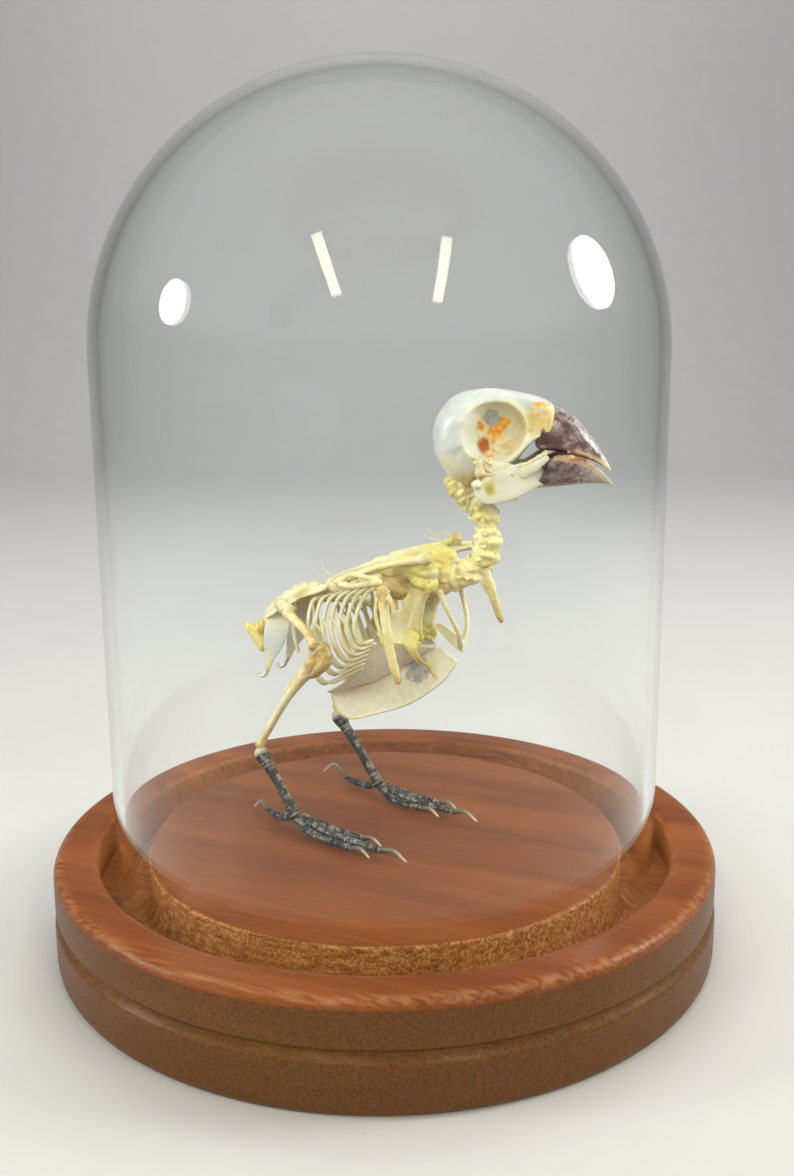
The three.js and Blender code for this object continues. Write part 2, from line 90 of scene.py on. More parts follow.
def skin(points, closed=True, **marks):
    """A grid of points as vertices, quads, fans and marks. Each cell is one quad. On a closed skin the
    last column joins the first, and a fan round its mean fills each end row."""
    rows, cols = points.shape[:2]
    i, j = np.arange(rows - 1)[:, None], np.arange(cols if closed else cols - 1)[None, :]
    k = (j + 1) % cols
    quads = np.stack([i * cols + j, i * cols + k, (i + 1) * cols + k, (i + 1) * cols + j], -1)
    verts = points.reshape(-1, 3)
    fans = np.zeros((0, 3), int)
    marks = {name: np.broadcast_to(mark, (rows, cols)).ravel() for name, mark in marks.items()}
    if closed:
        j, k, n = j[0], k[0], rows * cols
        last = j + n - cols, k + n - cols, 0 * j + n + 1
        fans = np.vstack([np.stack([k, j, 0 * j + n], -1), np.stack(last, -1)])
        verts = np.vstack([verts, points[0].mean(0), points[-1].mean(0)])
        marks = {a: np.append(m, [m[:cols].mean(), m[-cols:].mean()]) for a, m in marks.items()}
    return verts, quads.reshape(-1, 4), fans, marks


def outward(part):
    """The same skin, its faces turned round if its volume, summed over its triangles, is negative."""
    verts, quads, fans, marks = part
    a, b, c = verts[np.vstack([quads[:, [0, 1, 2]], quads[:, [0, 2, 3]], fans])].swapaxes(0, 1)
    way = 1 if (a * np.cross(b, c)).sum() > 0 else -1
    return verts, quads[:, ::way], fans[:, ::way], marks


def mesh_object(name, parts, material):
    """One smooth-shaded object in metres, from skins in millimetres."""
    points, faces = np.zeros((0, 3)), []
    for verts, quads, fans, _ in parts:
        faces += (quads + len(points)).tolist() + (fans + len(points)).tolist()
        points = np.vstack([points, verts])
    mesh = bpy.data.meshes.new(name)
    mesh.from_pydata((points * 0.001).tolist(), [], faces)
    for mark in sorted({mark for part in parts for mark in part[3]}):
        values = [marks.get(mark, np.zeros(len(verts))) for verts, _, _, marks in parts]
        layer = mesh.attributes.new(mark, "FLOAT", "POINT")
        layer.data.foreach_set("value", np.concatenate(values).astype(np.float32))
    mesh.shade_smooth()
    mesh.materials.append(material)
    made = bpy.data.objects.new(name, mesh)
    bpy.context.scene.collection.objects.link(made)
    return made


def piece(name, parts, material, node_names):
    """One object of skins, riding on the root and standing for its CAD nodes."""
    made = mesh_object(name, [outward(part) for part in parts], material)
    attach(made, "root")
    if node_names:
        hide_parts(*node_names)


class Value:
    """A shader socket that takes part in Python sums: each operation adds its Math node."""

    def __init__(self, finish, socket):
        self.finish, self.socket = finish, socket

    def math(self, operation, *terms):
        return self.finish.node("Math", {"operation": operation}, dict(enumerate(terms)))

    def __add__(self, other):
        return self.math("ADD", self, other)

    def __sub__(self, other):
        return self.math("SUBTRACT", self, other)

    def __rsub__(self, other):
        return self.math("SUBTRACT", other, self)

    def __mul__(self, other):
        return self.math("MULTIPLY", self, other)

    __radd__, __rmul__ = __add__, __mul__

    def between(self, low, high):
        """0 below low, 1 above high, and a smooth step from one to the other."""
        smooth = {"interpolation_type": "SMOOTHSTEP"}
        return self.finish.node("MapRange", smooth, {0: self, 1: low, 2: high})


class Finish:
    """A material of one Principled shader. Keyword values are its constant sockets, and lay() puts
    more over its colour."""

    def __init__(self, name, **constants):
        self.material = bpy.data.materials.new(name)
        self.material.use_nodes = True
        self.tree = self.material.node_tree
        self.shader = self.tree.nodes["Principled BSDF"]
        self.put_all(self.shader, constants)
        place = self.node("TexCoord", {}, {}, "Object")
        self.mm = self.node("VectorMath", {"operation": "SCALE"}, {0: place, "Scale": 1000})

    def node(self, kind, settings, sockets, output=0):
        """A node of a type, with its settings and then its sockets' values or links."""
        made = self.tree.nodes.new("ShaderNode" + kind)
        stops = settings.pop("stops", ())
        for name, value in settings.items():
            setattr(made, name, value)
        for _ in stops[2:]:
            made.color_ramp.elements.new(1)
        for n, (place, colour) in enumerate(stops):
            element = made.color_ramp.elements[n]
            element.position, element.color = place, (*colour, 1)
        self.put_all(made, sockets)
        return Value(self, made.outputs[output])

    def put_all(self, node, sockets):
        """Gives each named or numbered socket of a node its link or value."""
        for name, value in sockets.items():
            socket = node.inputs[name.replace("_", " ") if isinstance(name, str) else name]
            if isinstance(value, Value):
                self.tree.links.new(value.socket, socket)
            elif socket.type == "RGBA":
                socket.default_value = (*value[:3], 1)
            else:
                socket.default_value = value

    def done(self, **sockets):
        """The material, once its colour and what else varies are linked to the shader."""
        self.put_all(self.shader, {"Base_Color": self.colour, **sockets})
        return self.material

    def noise(self, per_mm, detail=3, at=None, rough=0.55, bend=0):
        sockets = {"Scale": per_mm, "Detail": detail, "Roughness": rough, "Distortion": bend}
        return self.node("TexNoise", {}, {"Vector": at or self.mm, **sockets})

    def stretched(self, scale, rotation=(0, 0, 0), at=None):
        sockets = {"Vector": at or self.mm, "Rotation": rotation, "Scale": scale}
        return self.node("Mapping", {}, sockets)

    def mark(self, name):
        return self.node("Attribute", {"attribute_name": name}, {}, "Fac")

    def mix(self, share, a, b, blend="MIX"):
        settings = {"data_type": "RGBA", "blend_type": blend}
        return self.node("Mix", settings, {0: share, 6: a, 7: b}, 2)

    def lay(self, share, colour, blend="MIX"):
        self.colour = self.mix(share, self.colour, colour, blend)

    def ramp(self, value, *stops):
        return self.node("ValToRGB", {"stops": stops}, {0: value})

    def bump(self, height, strength, depth_mm):
        deep = {"Distance": depth_mm * 0.001}
        return self.node("Bump", {}, {"Height": height, "Strength": strength, **deep})


def stained_wood():
    """Stained hardwood: soft bands and long fibres along the grain, short dark pores, specks and a few
    scratches. Marks say where it is bare, where its rounded edges are worn and lightened as a painted
    highlight, where it is browner, and where its middle is."""
    f = Finish("stained_wood", Coat_Roughness=0.25, IOR=1.5, Specular_IOR_Level=0.22)
    grain = f.stretched((0.05, 1, 1), (0, 0.05, -GRAIN_TURN))
    bands, fibres = f.noise(0.09, 3, grain, 0.5, 0.6), f.noise(1.3, 4, grain, 0.6)
    pores = f.noise(3.4, 2, f.stretched((5, 1, 1), at=grain), 0.5).between(0.62, 0.72)
    blotch, specks, bare = f.noise(0.035, 3), f.noise(2.6, 4, None, 0.7), f.mark("bare")
    scratches = f.noise(1.5, 1, f.stretched((0.04, 1, 1), (0, 0, 0.9))).between(0.74, 0.79)
    stains = (0.3, (0.095, 0.021, 0.004)), (0.5, (0.2, 0.047, 0.008)), (0.72, (0.33, 0.095, 0.018))
    f.colour = f.ramp(bands * 0.62 + fibres * 0.26 + blotch * 0.2, *stains)
    f.lay(pores * 0.45, (0.115, 0.032, 0.012))
    f.lay(specks.between(0.5, 0.66) * 0.16, (0.075, 0.021, 0.006))
    f.lay(scratches * 0.4, (0.5, 0.24, 0.09))
    woods = (0.38, (0.1, 0.034, 0.009)), (0.5, (0.3, 0.125, 0.035)), (0.6, (0.56, 0.3, 0.11))
    f.lay(bare * 0.8, f.ramp(specks * 0.6 + fibres * 0.4, *woods))
    # worn edges: lighter wood, partly real wear and partly a painted highlight on the rounded edges
    f.lay(f.mark("worn") * fibres.between(0.3, 0.7) * 0.5, (0.62, 0.3, 0.13))
    browns = f.mix(specks.between(0.42, 0.6), (0.155, 0.066, 0.009), (0.085, 0.033, 0.005))
    f.lay(f.mark("side") * (0.5 + blotch * 0.6), browns)
    f.lay(f.mark("middle") * 0.8, (0.66, 0.62, 0.42), "MULTIPLY")
    return f.done(
        Roughness=0.36 + bare * 0.34 + specks * 0.16,
        Coat_Weight=(1 - bare) * 0.12,
        Normal=f.bump(fibres * 0.5 + specks * bare * 2.2 - pores * (1 - bare), 0.35, 0.08),
    )


base_line = rounded_profile(BASE_CORNERS)
radius, height, bare_wood = (base_line[:, n:n + 1] for n in range(3))
# worn: where the edges are lightened, partly wear and partly a painted highlight
worn = sum(np.exp(-((radius - r) ** 2 + (height - z) ** 2) / spread) for r, z, spread in WORN_AND_HIGHLIT_EDGES)
base_scale = np.array([BASE_HIGH.x, BASE_HIGH.x, BASE_HIGH.z]) / (DRAWN_R, DRAWN_R, DRAWN_HEIGHT)
side_wall = (radius > SIDE_FROM_R) & (height < SIDE_TO_HEIGHT)
base_skin = skin(
    turned(base_line) * base_scale, bare=bare_wood, worn=worn, side=side_wall, middle=radius < MIDDLE_R
)
piece("turned_base", [base_skin], stained_wood(), ["stand_base"])


# ---- the glass dome ----
# A bell of clear blown glass with an even wall, a domed top and a ground, slightly rounded foot that
# rests in the base's groove by its own weight.
DOME_WALL, DOME_FOOT_ROUND, DOME_CAP_RISE = 1.8, 0.6, 48.5  # mm
CROWN_HOLE = 0.008  # radians short of the top, where the closing fan starts
WALL_ROWS, CAP_ROWS = 14, 72


def dome_line(radius, cap, foot, top):
    """Radius and height from foot to crown: a straight wall, then a quarter of an ellipse."""
    a = np.linspace(0, np.pi / 2 - CROWN_HOLE, CAP_ROWS)
    wall = np.linspace(foot, top - cap, WALL_ROWS)[:-1]
    r = np.concatenate([0 * wall + radius, radius * np.cos(a)])
    return np.stack([r, np.concatenate([wall, top - cap + cap * np.sin(a)])], axis=1)


def clear_glass():
    """Clear soda glass with a faint green tint. A mix with a transparent shader for shadow rays lets
    the lamps reach the bird."""
    f = Finish(
        "clear_glass", Transmission_Weight=1, IOR=1.46, Roughness=0,
        Base_Color=(0.975, 0.99, 0.985), Specular_Tint=(0.5, 0.5, 0.5),
    )
    shadow = f.node("LightPath", {}, {}, "Is Shadow Ray")
    clear = f.node("BsdfTransparent", {}, {0: (0.95, 0.97, 0.962)})
    mixed = f.node("MixShader", {}, {0: shadow, 1: Value(f, f.shader.outputs[0]), 2: clear})
    f.put_all(f.tree.nodes["Material Output"], {"Surface": mixed})
    return f.material


dome_foot, dome_top = (corner.z * 1000 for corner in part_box("stand_dome"))
dome_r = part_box("stand_dome")[1].x * 1000
lowest, wall_half = dome_foot + DOME_FOOT_ROUND, DOME_WALL / 2
outer = dome_line(dome_r, DOME_CAP_RISE, lowest, dome_top)
inner = dome_line(dome_r - DOME_WALL, DOME_CAP_RISE - DOME_WALL, lowest, dome_top - DOME_WALL)
a = np.linspace(0, np.pi, 9)[1:-1]
foot_r, foot_z = dome_r - wall_half - wall_half * np.cos(a), lowest - DOME_FOOT_ROUND * np.sin(a)
glass_skin = skin(turned(np.vstack([inner[::-1], np.stack([foot_r, foot_z], axis=1), outer])))
piece("glass_dome", [glass_skin], clear_glass(), ["stand_dome"])


# ---- the skull ----
# Thin, smooth bone, bluish white over the braincase. Each large eye socket is a bowl down to the thin
# wall between the two, with dried yellow and orange tissue in it, and a rod of cheek bone runs below.
SIDEWAYS, AHEAD, UP = (0, 1, 0), (1, 0, 0), (0, 0, 1)
MIDDLE = sum(corner.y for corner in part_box("sternum")) * 500  # mm, the bird's middle plane
HEAD_TURN = np.radians(18)
HEAD_JOINT = np.array([15.1, MIDDLE, 82.9])
SOCKET = np.array([4, 10.3])  # centre of the eye socket, ahead of and above the neck joint
SOCKET_R, SEPTUM = 5.45, 0.4
SKULL_OUTLINE = [
    (14.9, 11.6), (14.7, 14.3), (13.1, 15.75), (10.5, 16.65), (7, 17.35), (3.1, 17.75),
    (-1, 17.25), (-3.7, 15.9), (-5.75, 13.3), (-6.65, 10.9), (-6.75, 8.9), (-6.4, 6.6),
    (-5.3, 4.3), (-3.7, 2.1), (-2.2, 0.9), (-0.4, 0.3), (1.4, 1.3), (3.8, 2.7), (6.3, 3.9),
    (8.2, 5.2), (9.7, 7.1), (11.6, 8.8), (14.4, 10.2),
]
# round the socket, in degrees from straight ahead: its rim's half width, how much wider the bone
# grows on the way out to the outline, and how squarely it ends there
RIM = np.array([
    (0, 3.7, 1.1, 9), (30, 3.6, 0.9, 7), (60, 3.5, 0.3, 3), (90, 3.9, 0.2, 2), (125, 5.4, 0.6, 2),
    (160, 7.1, 1.1, 2), (200, 7.2, 1.1, 2), (235, 6.2, 0.3, 2), (270, 4.7, 0.2, 2), (315, 4.4, 0.4, 4),
    (360, 3.7, 1.1, 9),
])


def smooth_way(points, share):
    """A smooth line through the points: each stretch is a cubic whose slope at each end is half the
    chord between the neighbours (Catmull-Rom)."""
    p = np.asarray(points, float)
    p = np.vstack([2 * p[0] - p[1], p, 2 * p[-1] - p[-2]])
    n = len(p) - 3
    k = np.clip((share * n).astype(int), 0, n - 1)
    u = (share * n - k)[:, None]
    a, b, c, d = p[k], p[k + 1], p[k + 2], p[k + 3]
    square, cube = 2 * a - 5 * b + 4 * c - d, 3 * b - a - 3 * c + d
    return 0.5 * (2 * b + (c - a) * u + square * u**2 + cube * u**3)


def ripple(points, size, seed):
    """A smooth random height of about -1 to 1: the mean of sine waves in random directions, from the
    size given down to a third of it."""
    r = np.random.default_rng(seed)
    ways = r.normal(size=(9, 3))
    ways *= (2 * np.pi / (size * r.uniform(0.35, 1, 9)) / np.linalg.norm(ways, axis=1))[:, None]
    return np.sin(points @ ways.T + r.uniform(0, 2 * np.pi, 9)).mean(-1) * 1.8


def bells(*heaps, rest=0):
    """A mark along a way: bells of a height, a place and a width, over what the rest has."""
    return lambda t, a: rest + sum(high * np.exp(-(((t - at) / wide) ** 2)) for high, at, wide in heaps)


def both_faces(s, half, z, **marks):
    """A skin of two faces that meet at their last row: the grid with its half width to the left, then
    back row by row with it to the right."""
    def there_and_back(grid, sign=1):
        return np.concatenate([grid, sign * grid[-2::-1]])
    points = np.stack([there_and_back(s), there_and_back(half, -1), there_and_back(z)], -1)
    return skin(points, **{name: there_and_back(mark) for name, mark in marks.items()})


def to_head(part):
    """A skin given ahead of, left of and above the neck joint, turned with the head."""
    (x, y, z), c, s = part[0].T, np.cos(HEAD_TURN), np.sin(HEAD_TURN)
    return np.stack([x * c - y * s, x * s + y * c, z], -1) + HEAD_JOINT, *part[1:]


def skull_shell():
    """The skull as one closed skin. Columns run round the socket, rows from its middle to its rim, to
    the outline and back in on the other side. Inside the rim at share i the half width is the septum's
    plus the rest of the rim's times i to a power; outside at share o it is (rim + flare o)
    sqrt(1 - o^square)."""
    ring = smooth_way(SKULL_OUTLINE + SKULL_OUTLINE[:1], np.linspace(0, 1, 240, endpoint=False))
    way = ring - SOCKET
    turn = np.arctan2(way[:, 1], way[:, 0]) % (2 * np.pi)
    radius = SOCKET_R * (1 + 0.035 * np.cos(2 * turn - np.radians(40)) + 0.02 * np.sin(3 * turn))
    edge = SOCKET + (radius / np.linalg.norm(way, axis=1))[:, None] * way
    rim, flare, square = (np.interp(np.degrees(turn), RIM[:, 0], RIM[:, k])[None, :] for k in (1, 2, 3))
    i = np.linspace(0.02, 1, 34)[:, None] ** 0.7
    o = np.sin(np.linspace(0, np.pi / 2, 48)[1:])[:, None]
    flat = np.concatenate([SOCKET + i[..., None] * (edge - SOCKET), edge + o[..., None] * (ring - edge)])
    s, z = flat[..., 0], flat[..., 1]
    steep = 2.5 + 2.3 * np.cos(turn - np.radians(20)).clip(-0.55, 1)
    shell = (rim + flare * o) * np.sqrt((1 - o**square).clip(0, 1))
    width = np.concatenate([SEPTUM + (rim - SEPTUM) * i**steep, shell])
    from_rim = np.concatenate([(i - 1) * SOCKET_R + 0 * rim, o * np.linalg.norm(ring - edge, axis=1)])
    lip = np.exp(-(((from_rim - 0.25) / 0.6) ** 2)) * (0.35 + 0.65 * np.cos(turn).clip(0, 1))
    width = width + 0.42 * lip + 0.06 * ripple(np.stack([s, width, z], -1), 3, 5) * (width > 0.45)
    width[-1] = 0
    within = np.arange(len(s))[:, None] < len(i)
    front = 0.5 + 0.5 * np.cos(turn - np.radians(10))
    deep = np.concatenate([1 - i**3 * (1 - 0.6 * front), 0 * shell])

    def spots(*heaps):
        """Bells of a height round a place, with a size each way and a power that squares them off."""
        return sum(
            high * np.exp(-((((s - x) / long) ** 2 + ((z - y) / tall) ** 2) ** (power / 2)))
            for high, x, y, long, tall, power in heaps
        )

    strands = spots(
        (0.95, 5.9, 12, 2.1, 1, 2), (1.05, 4.4, 10.1, 1.6, 1.5, 2), (0.9, 1.8, 11.4, 0.7, 1, 2)
    )
    return to_head(both_faces(
        s, width, z,
        ochre=0.56 * deep - 0.3 * lip + spots(
            (1.4, 12, 12, 3.5, 3.2, 3), (1, -1.8, 0.6, 3.6, 3, 3), (0.7, 3.4, 3.2, 4.6, 2, 3),
            (0.5, 6.9, 7.5, 1.3, 1.8, 2),
        ),
        orange=within * strands + spots((0.62, 3.4, 5.8, 2, 3.2, 2), (0.8, 12.2, 15, 2.2, 0.7, 3)),
        brown=spots((1.25, 2.3, 8, 1.25, 1.6, 2)),
        grey=within * spots((1, 3.7, 12.7, 1.5, 1.6, 4)),
        cream=lip + 0.75 * deep + spots((0.8, -3.4, 4.6, 3.2, 2.4, 2)),
    ))


def along(t, pairs):
    """A smooth curve through pairs of share and value, read off at t."""
    dense = smooth_way(pairs, np.linspace(0, 1, 240))
    return np.interp(t, dense[:, 0], dense[:, 1])


def measured(what, t, a):
    """A size or mark at share t and angle a, from a number, a first and a last value, a list of pairs
    for along(), or a function of both."""
    if callable(what):
        return what(t, a)
    if isinstance(what, tuple):
        return what[0] + (what[1] - what[0]) * t
    return along(t, what) if isinstance(what, list) else what


def cap_round(t, length, half):
    """How far a section is drawn in near either end: a quarter circle over the last half width."""
    near = np.minimum(t, 1 - t) * length / np.maximum(half, 1e-6)
    return np.sqrt((1 - (1 - near.clip(0, 1)) ** 2).clip(0.0004, 1))


def carried(path, wide, deep, grid=(40, 18), rough=(0, 1, 1), across=SIDEWAYS, **marks):
    """A round-ended skin carried along a smooth way through the path's points. At share t and angle a
    it stands off by wide cos a along the across direction and by deep sin a square to that. grid is
    its rows and columns; rough is a ripple's height, size and seed. Sizes and marks are measured()."""
    rows, cols = grid
    t = (1 - np.cos(np.linspace(0, np.pi, rows))) / 2
    centre = smooth_way(path, t)
    forward = np.gradient(centre, axis=0)
    forward /= np.linalg.norm(forward, axis=1)[:, None]
    sideways = np.asarray(across, float) - (forward @ np.asarray(across, float))[:, None] * forward
    sideways /= np.linalg.norm(sideways, axis=1)[:, None]
    length = np.linalg.norm(np.diff(centre, axis=0), axis=1).sum()
    t, a = t[:, None], np.linspace(0, 2 * np.pi, cols, endpoint=False)[None, :]
    off = 0
    for way, size, turn in (
        (sideways, wide, np.cos(a)), (np.cross(sideways, forward), deep, np.sin(a)),
    ):
        half = measured(size, t, a) * np.ones((rows, cols))
        off = off + way[:, None] * (half * cap_round(t, length, half) * turn)[..., None]
    lift, size, seed = rough
    centre = centre[:, None]
    points = centre + off * (1 + lift * ripple(centre + off, size, seed))[..., None]
    return skin(points, **{name: measured(mark, t, a) for name, mark in marks.items()})


def head_bone(side, way, *sizes, **marks):
    """carried() in the head's own frame, its way given outwards on the side asked for."""
    return to_head(carried(np.array(way, float) * (1, side, 1), *sizes, **marks))


def bone_finish(name, sheer, spread, depth):
    """A bone's material: how much light goes into it, and how far red, green and blue spread there."""
    return Finish(
        name, Subsurface_Weight=sheer, Subsurface_Radius=spread, Subsurface_Scale=depth, IOR=1.5
    )


def skull_bone():
    """Thin bluish-white bone. Marks lay cream, dried ochre tissue, orange strands, a brown spot and a
    grey gauzy patch over it, with ragged edges."""
    f = bone_finish("skull_bone", 0.1, (0.9, 0.6, 0.35), 0.0008)
    cloud, patch, fine = f.noise(0.32, 4), f.noise(1.1, 4), f.noise(2.6, 3)
    ochre, blotchy = f.mark("ochre"), patch.between(0.35, 0.65)
    ragged = (cloud - 0.5) * 0.5 + (patch - 0.5) * 0.9 + (fine - 0.5) * 0.3
    f.colour = f.mix(cloud.between(0.35, 0.7), (0.56, 0.6, 0.61), (0.68, 0.68, 0.64))
    f.lay(f.mark("cream").between(0, 1), (0.8, 0.745, 0.53))
    dry = (patch * 0.6 + ochre * 0.25).between(0.35, 0.72)
    dried = f.mix(dry, (0.72, 0.68, 0.48), (0.64, 0.46, 0.15))
    f.lay((ochre + ragged).between(0.2, 0.85), dried)
    oranges = f.mix(blotchy, (0.88, 0.5, 0.07), (0.74, 0.28, 0.02))
    f.lay((f.mark("orange") + ragged).between(0.35, 0.85), oranges)
    browns = f.mix(blotchy, (0.55, 0.16, 0.02), (0.34, 0.085, 0.012))
    f.lay((f.mark("brown") + ragged * 0.6).between(0.3, 0.95), browns)
    gauze = f.mix(f.noise(5, 2).between(0.42, 0.58), (0.27, 0.29, 0.31), (0.55, 0.56, 0.53))
    f.lay((f.mark("grey") + ragged * 1.1).between(0.35, 0.6), gauze)
    dirty = ochre.between(0, 1)
    return f.done(
        Roughness=0.27 + dirty * 0.2 + fine * 0.1,
        Coat_Weight=(1 - dirty) * 0.3,
        Normal=f.bump(cloud * 0.5 + fine * 0.5, 0.3, 0.12),
    )


def cheek(side):
    """The cheek rod from the quadrate to the bill, the quadrate block, and dried muscle behind it."""
    rod = head_bone(
        side, [(1.6, 6, 2.8), (5, 5.6, 3.4), (9, 4.8, 4.4), (13.6, 4.3, 6.9)],
        lambda t, a: 0.3 + 0.2 * t**3, 0.22, (40, 24), (0.4, 1.2, 11), UP, ochre=(0.2, 0.7), cream=0.7,
    )
    block = head_bone(
        side, [(1.2, 6.3, 5.9), (1.7, 6.3, 4.4), (1.9, 6.1, 2.6)], (0.8, 1.3),
        lambda t, a: 0.9 + 0.3 * np.cos(6 * t), (26, 18), (0.25, 1.2, 12), ochre=0.8, orange=0.25,
    )
    sheet = head_bone(
        side, [(0.9, 6.1, 4.4), (4.2, 5.5, 3.5), (7.7, 4.8, 4.2)], lambda t, a: 2.2 - 1.3 * t**2, 0.3,
        (40, 28), (0.14, 1.2, 13), UP, ochre=(0.65, 0.35), orange=bells((0.75, 0.25, 0.25)), cream=0.7,
    )
    strands = [
        head_bone(
            side, [
                (0.4 + k, 6.6 - 0.2 * k, 6.4 - 0.4 * k), (2.6 + k, 5.8 - 0.5 * k, 4.2),
                (5.2 + 1.3 * k, 5.2, 2.8),
            ],
            (0.75, 0.45), 0.4, (24, 12), (0.3, 1.2, 20 + k), ochre=0.85, orange=0.35 * (k == 0),
        )
        for k in range(3)
    ]
    return [rod, block, sheet, *strands]


condyle = head_bone(
    1, [(-2.6, 0, 3.6), (-1.5, 0, 1.6), (-0.1, 0, 0.4)], (2.9, 1.9), (2.4, 1.5),
    (26, 18), (0.2, 1.2, 4), ochre=1, orange=0.15,
)
skull_parts = [skull_shell(), condyle, *cheek(1), *cheek(-1)]
piece("skull_shell", skull_parts, skull_bone(), ["skull"])


# ---- the bill ----
# A heavy seed-cracking bill: a horn sheath over bone, dark maroon, scuffed white along its ridge, and
# tan where it wears thin along both cutting edges and at the tips.
# each half's two ends ahead of the neck joint, then pairs of share and height or half width, in mm
UPPER = {
    "ends": (14.5, 24.9),
    "ridge": [(0, 14.7), (0.22, 13.8), (0.45, 11.9), (0.65, 9.2), (0.82, 6.9), (0.94, 4.9), (1, 3.5)],
    "edge": [(0, 7.5), (0.35, 6.5), (0.65, 5.35), (0.82, 4.4), (0.94, 3.6), (1, 3.2)],
    "width": [(0, 4.75), (0.4, 3.8), (0.75, 1.9), (0.94, 0.75), (1, 0.3)],
}
LOWER = {
    "ends": (11.6, 25.3),
    "ridge": [(0, 0.1), (0.3, 0.4), (0.6, 0.9), (0.85, 1), (1, 0.7)],
    "edge": [(0, 5.6), (0.22, 6.4), (0.5, 6), (0.73, 4.5), (0.87, 2.9), (1, 1.05)],
    "width": [(0, 4.6), (0.4, 3.9), (0.75, 2.1), (0.94, 0.9), (1, 0.3)],
}


def bill_half(ends, ridge, edge, width, hollow, slant):
    """Half a bill: at share t and angle a the side is width cos a out, and the height goes from the
    cutting edge to the ridge by |sin a|^0.8, or by the hollow's share of that on the mouth's side. The
    back end is moved by slant(a)."""
    t = (1 - np.cos(np.linspace(0, np.pi, 64)[:, None])) / 2
    a = np.linspace(0, 2 * np.pi, 72, endpoint=False)[None, :]
    low = along(t, edge)
    rise = np.abs(np.sin(a)) ** 0.8 * np.where(np.sin(a) > 0, 1, hollow)
    s = ends[0] + slant(a) * (1 - t) ** 2 + (ends[1] - ends[0]) * t
    drawn = np.sqrt((1 - (1 - (t / 0.03).clip(0, 1)) ** 2).clip(0.3, 1))
    z = low + (along(t, ridge) - low) * rise
    y = along(t, width) * drawn * np.sign(np.cos(a)) * np.abs(np.cos(a)) ** 0.9
    points = np.stack([s, y, z], -1)
    points = points + 0.03 * ripple(points, 2.2, 31)[..., None]
    side = np.exp(-(((z - low) / 1.15) ** 2)) * (np.sin(a) > -0.05)
    top = np.exp(-((np.cos(a) / 0.7) ** 2)) * (np.sin(a) > 0)
    return to_head(skin(points, edge=side, ridge=top, share=t))


def horn(name, stripe, stripe_from, rough, front, base):
    """Dark maroon horn, streaked lengthwise, its edge worn to tan past the share given, its ridge
    scuffed whitish and its tip pale. front and base are how brown its front and grey its root go."""
    f = Finish(name, Coat_Roughness=0.16, IOR=1.54, Subsurface_Weight=0.05, Subsurface_Scale=0.0005)
    cloud, fine, share = f.noise(0.5, 4), f.noise(3, 4), f.mark("share")
    streak = f.noise(1.1, 4, f.stretched((0.22, 1, 1), (0, 0.75, -HEAD_TURN)), 0.6)
    reds = (0.36, (0.045, 0.016, 0.018)), (0.52, (0.105, 0.036, 0.034)), (0.66, (0.2, 0.075, 0.06))
    f.colour = f.ramp(cloud * 0.6 + streak * 0.4, *reds)
    greyish = f.mark("ridge") * 0.4 + streak * 1.4 + share * 0.3 - 0.45
    f.lay(greyish.between(0.34, 0.72) * 0.6, (0.34, 0.31, 0.32))
    scuff = f.mark("ridge") * 0.4 + fine * 1.5 + cloud * 0.8 + share * 0.25
    f.lay(scuff.between(1.38, 1.75) * 0.75, (0.64, 0.61, 0.59))
    worn = f.mark("edge") * stripe * share.between(stripe_from, stripe_from + 0.3) + (streak - 0.5) * 0.6
    tan = f.mix(streak.between(0.35, 0.65), (0.36, 0.155, 0.065), (0.55, 0.36, 0.19))
    f.lay(worn.between(0.3, 0.62), f.mix(share.between(0.6, 1), tan, (0.66, 0.55, 0.36)))
    f.lay(share.between(0.86, 1) * 0.9, (0.68, 0.62, 0.46))
    if front:
        f.lay((share + (streak - 0.5) * 0.5).between(0.42, 0.85) * front, (0.5, 0.43, 0.34))
    if base:
        root = (1 - share.between(0.05, 0.4)) * (1 - f.mark("edge")) * cloud.between(0.4, 0.6)
        f.lay(root * base, (0.36, 0.35, 0.38))
    return f.done(
        Roughness=rough[0] + fine * rough[1],
        Coat_Weight=0.25 + cloud * 0.2,
        Normal=f.bump(streak * 0.7 + fine * 0.3, 0.35, 0.1),
    )


def upper_slant(a):
    """Back by 3 mm at the cutting edge, nothing at the ridge."""
    return -3 * np.abs(np.cos(a)) ** 2.2 + 0.5 * np.sin(a).clip(0, 1) ** 2 * np.abs(np.cos(a))


def lower_slant(a):
    """Forward by 1.8 mm at the cutting edge and back by 1.4 mm at the keel."""
    return 1.8 * np.abs(np.cos(a)) ** 2 - 1.4 * np.sin(a).clip(0, 1)


upper = bill_half(**UPPER, hollow=0.3, slant=upper_slant)
piece("upper_bill", [upper], horn("upper_horn", 1, 0.25, (0.24, 0.22), 0, 0), ["bill_upper"])
lower = bill_half(**LOWER, hollow=0.45, slant=lower_slant)
piece("lower_bill", [lower], horn("lower_horn", 1.6, 0, (0.26, 0.2), 0.7, 0.7), ["bill_lower"])


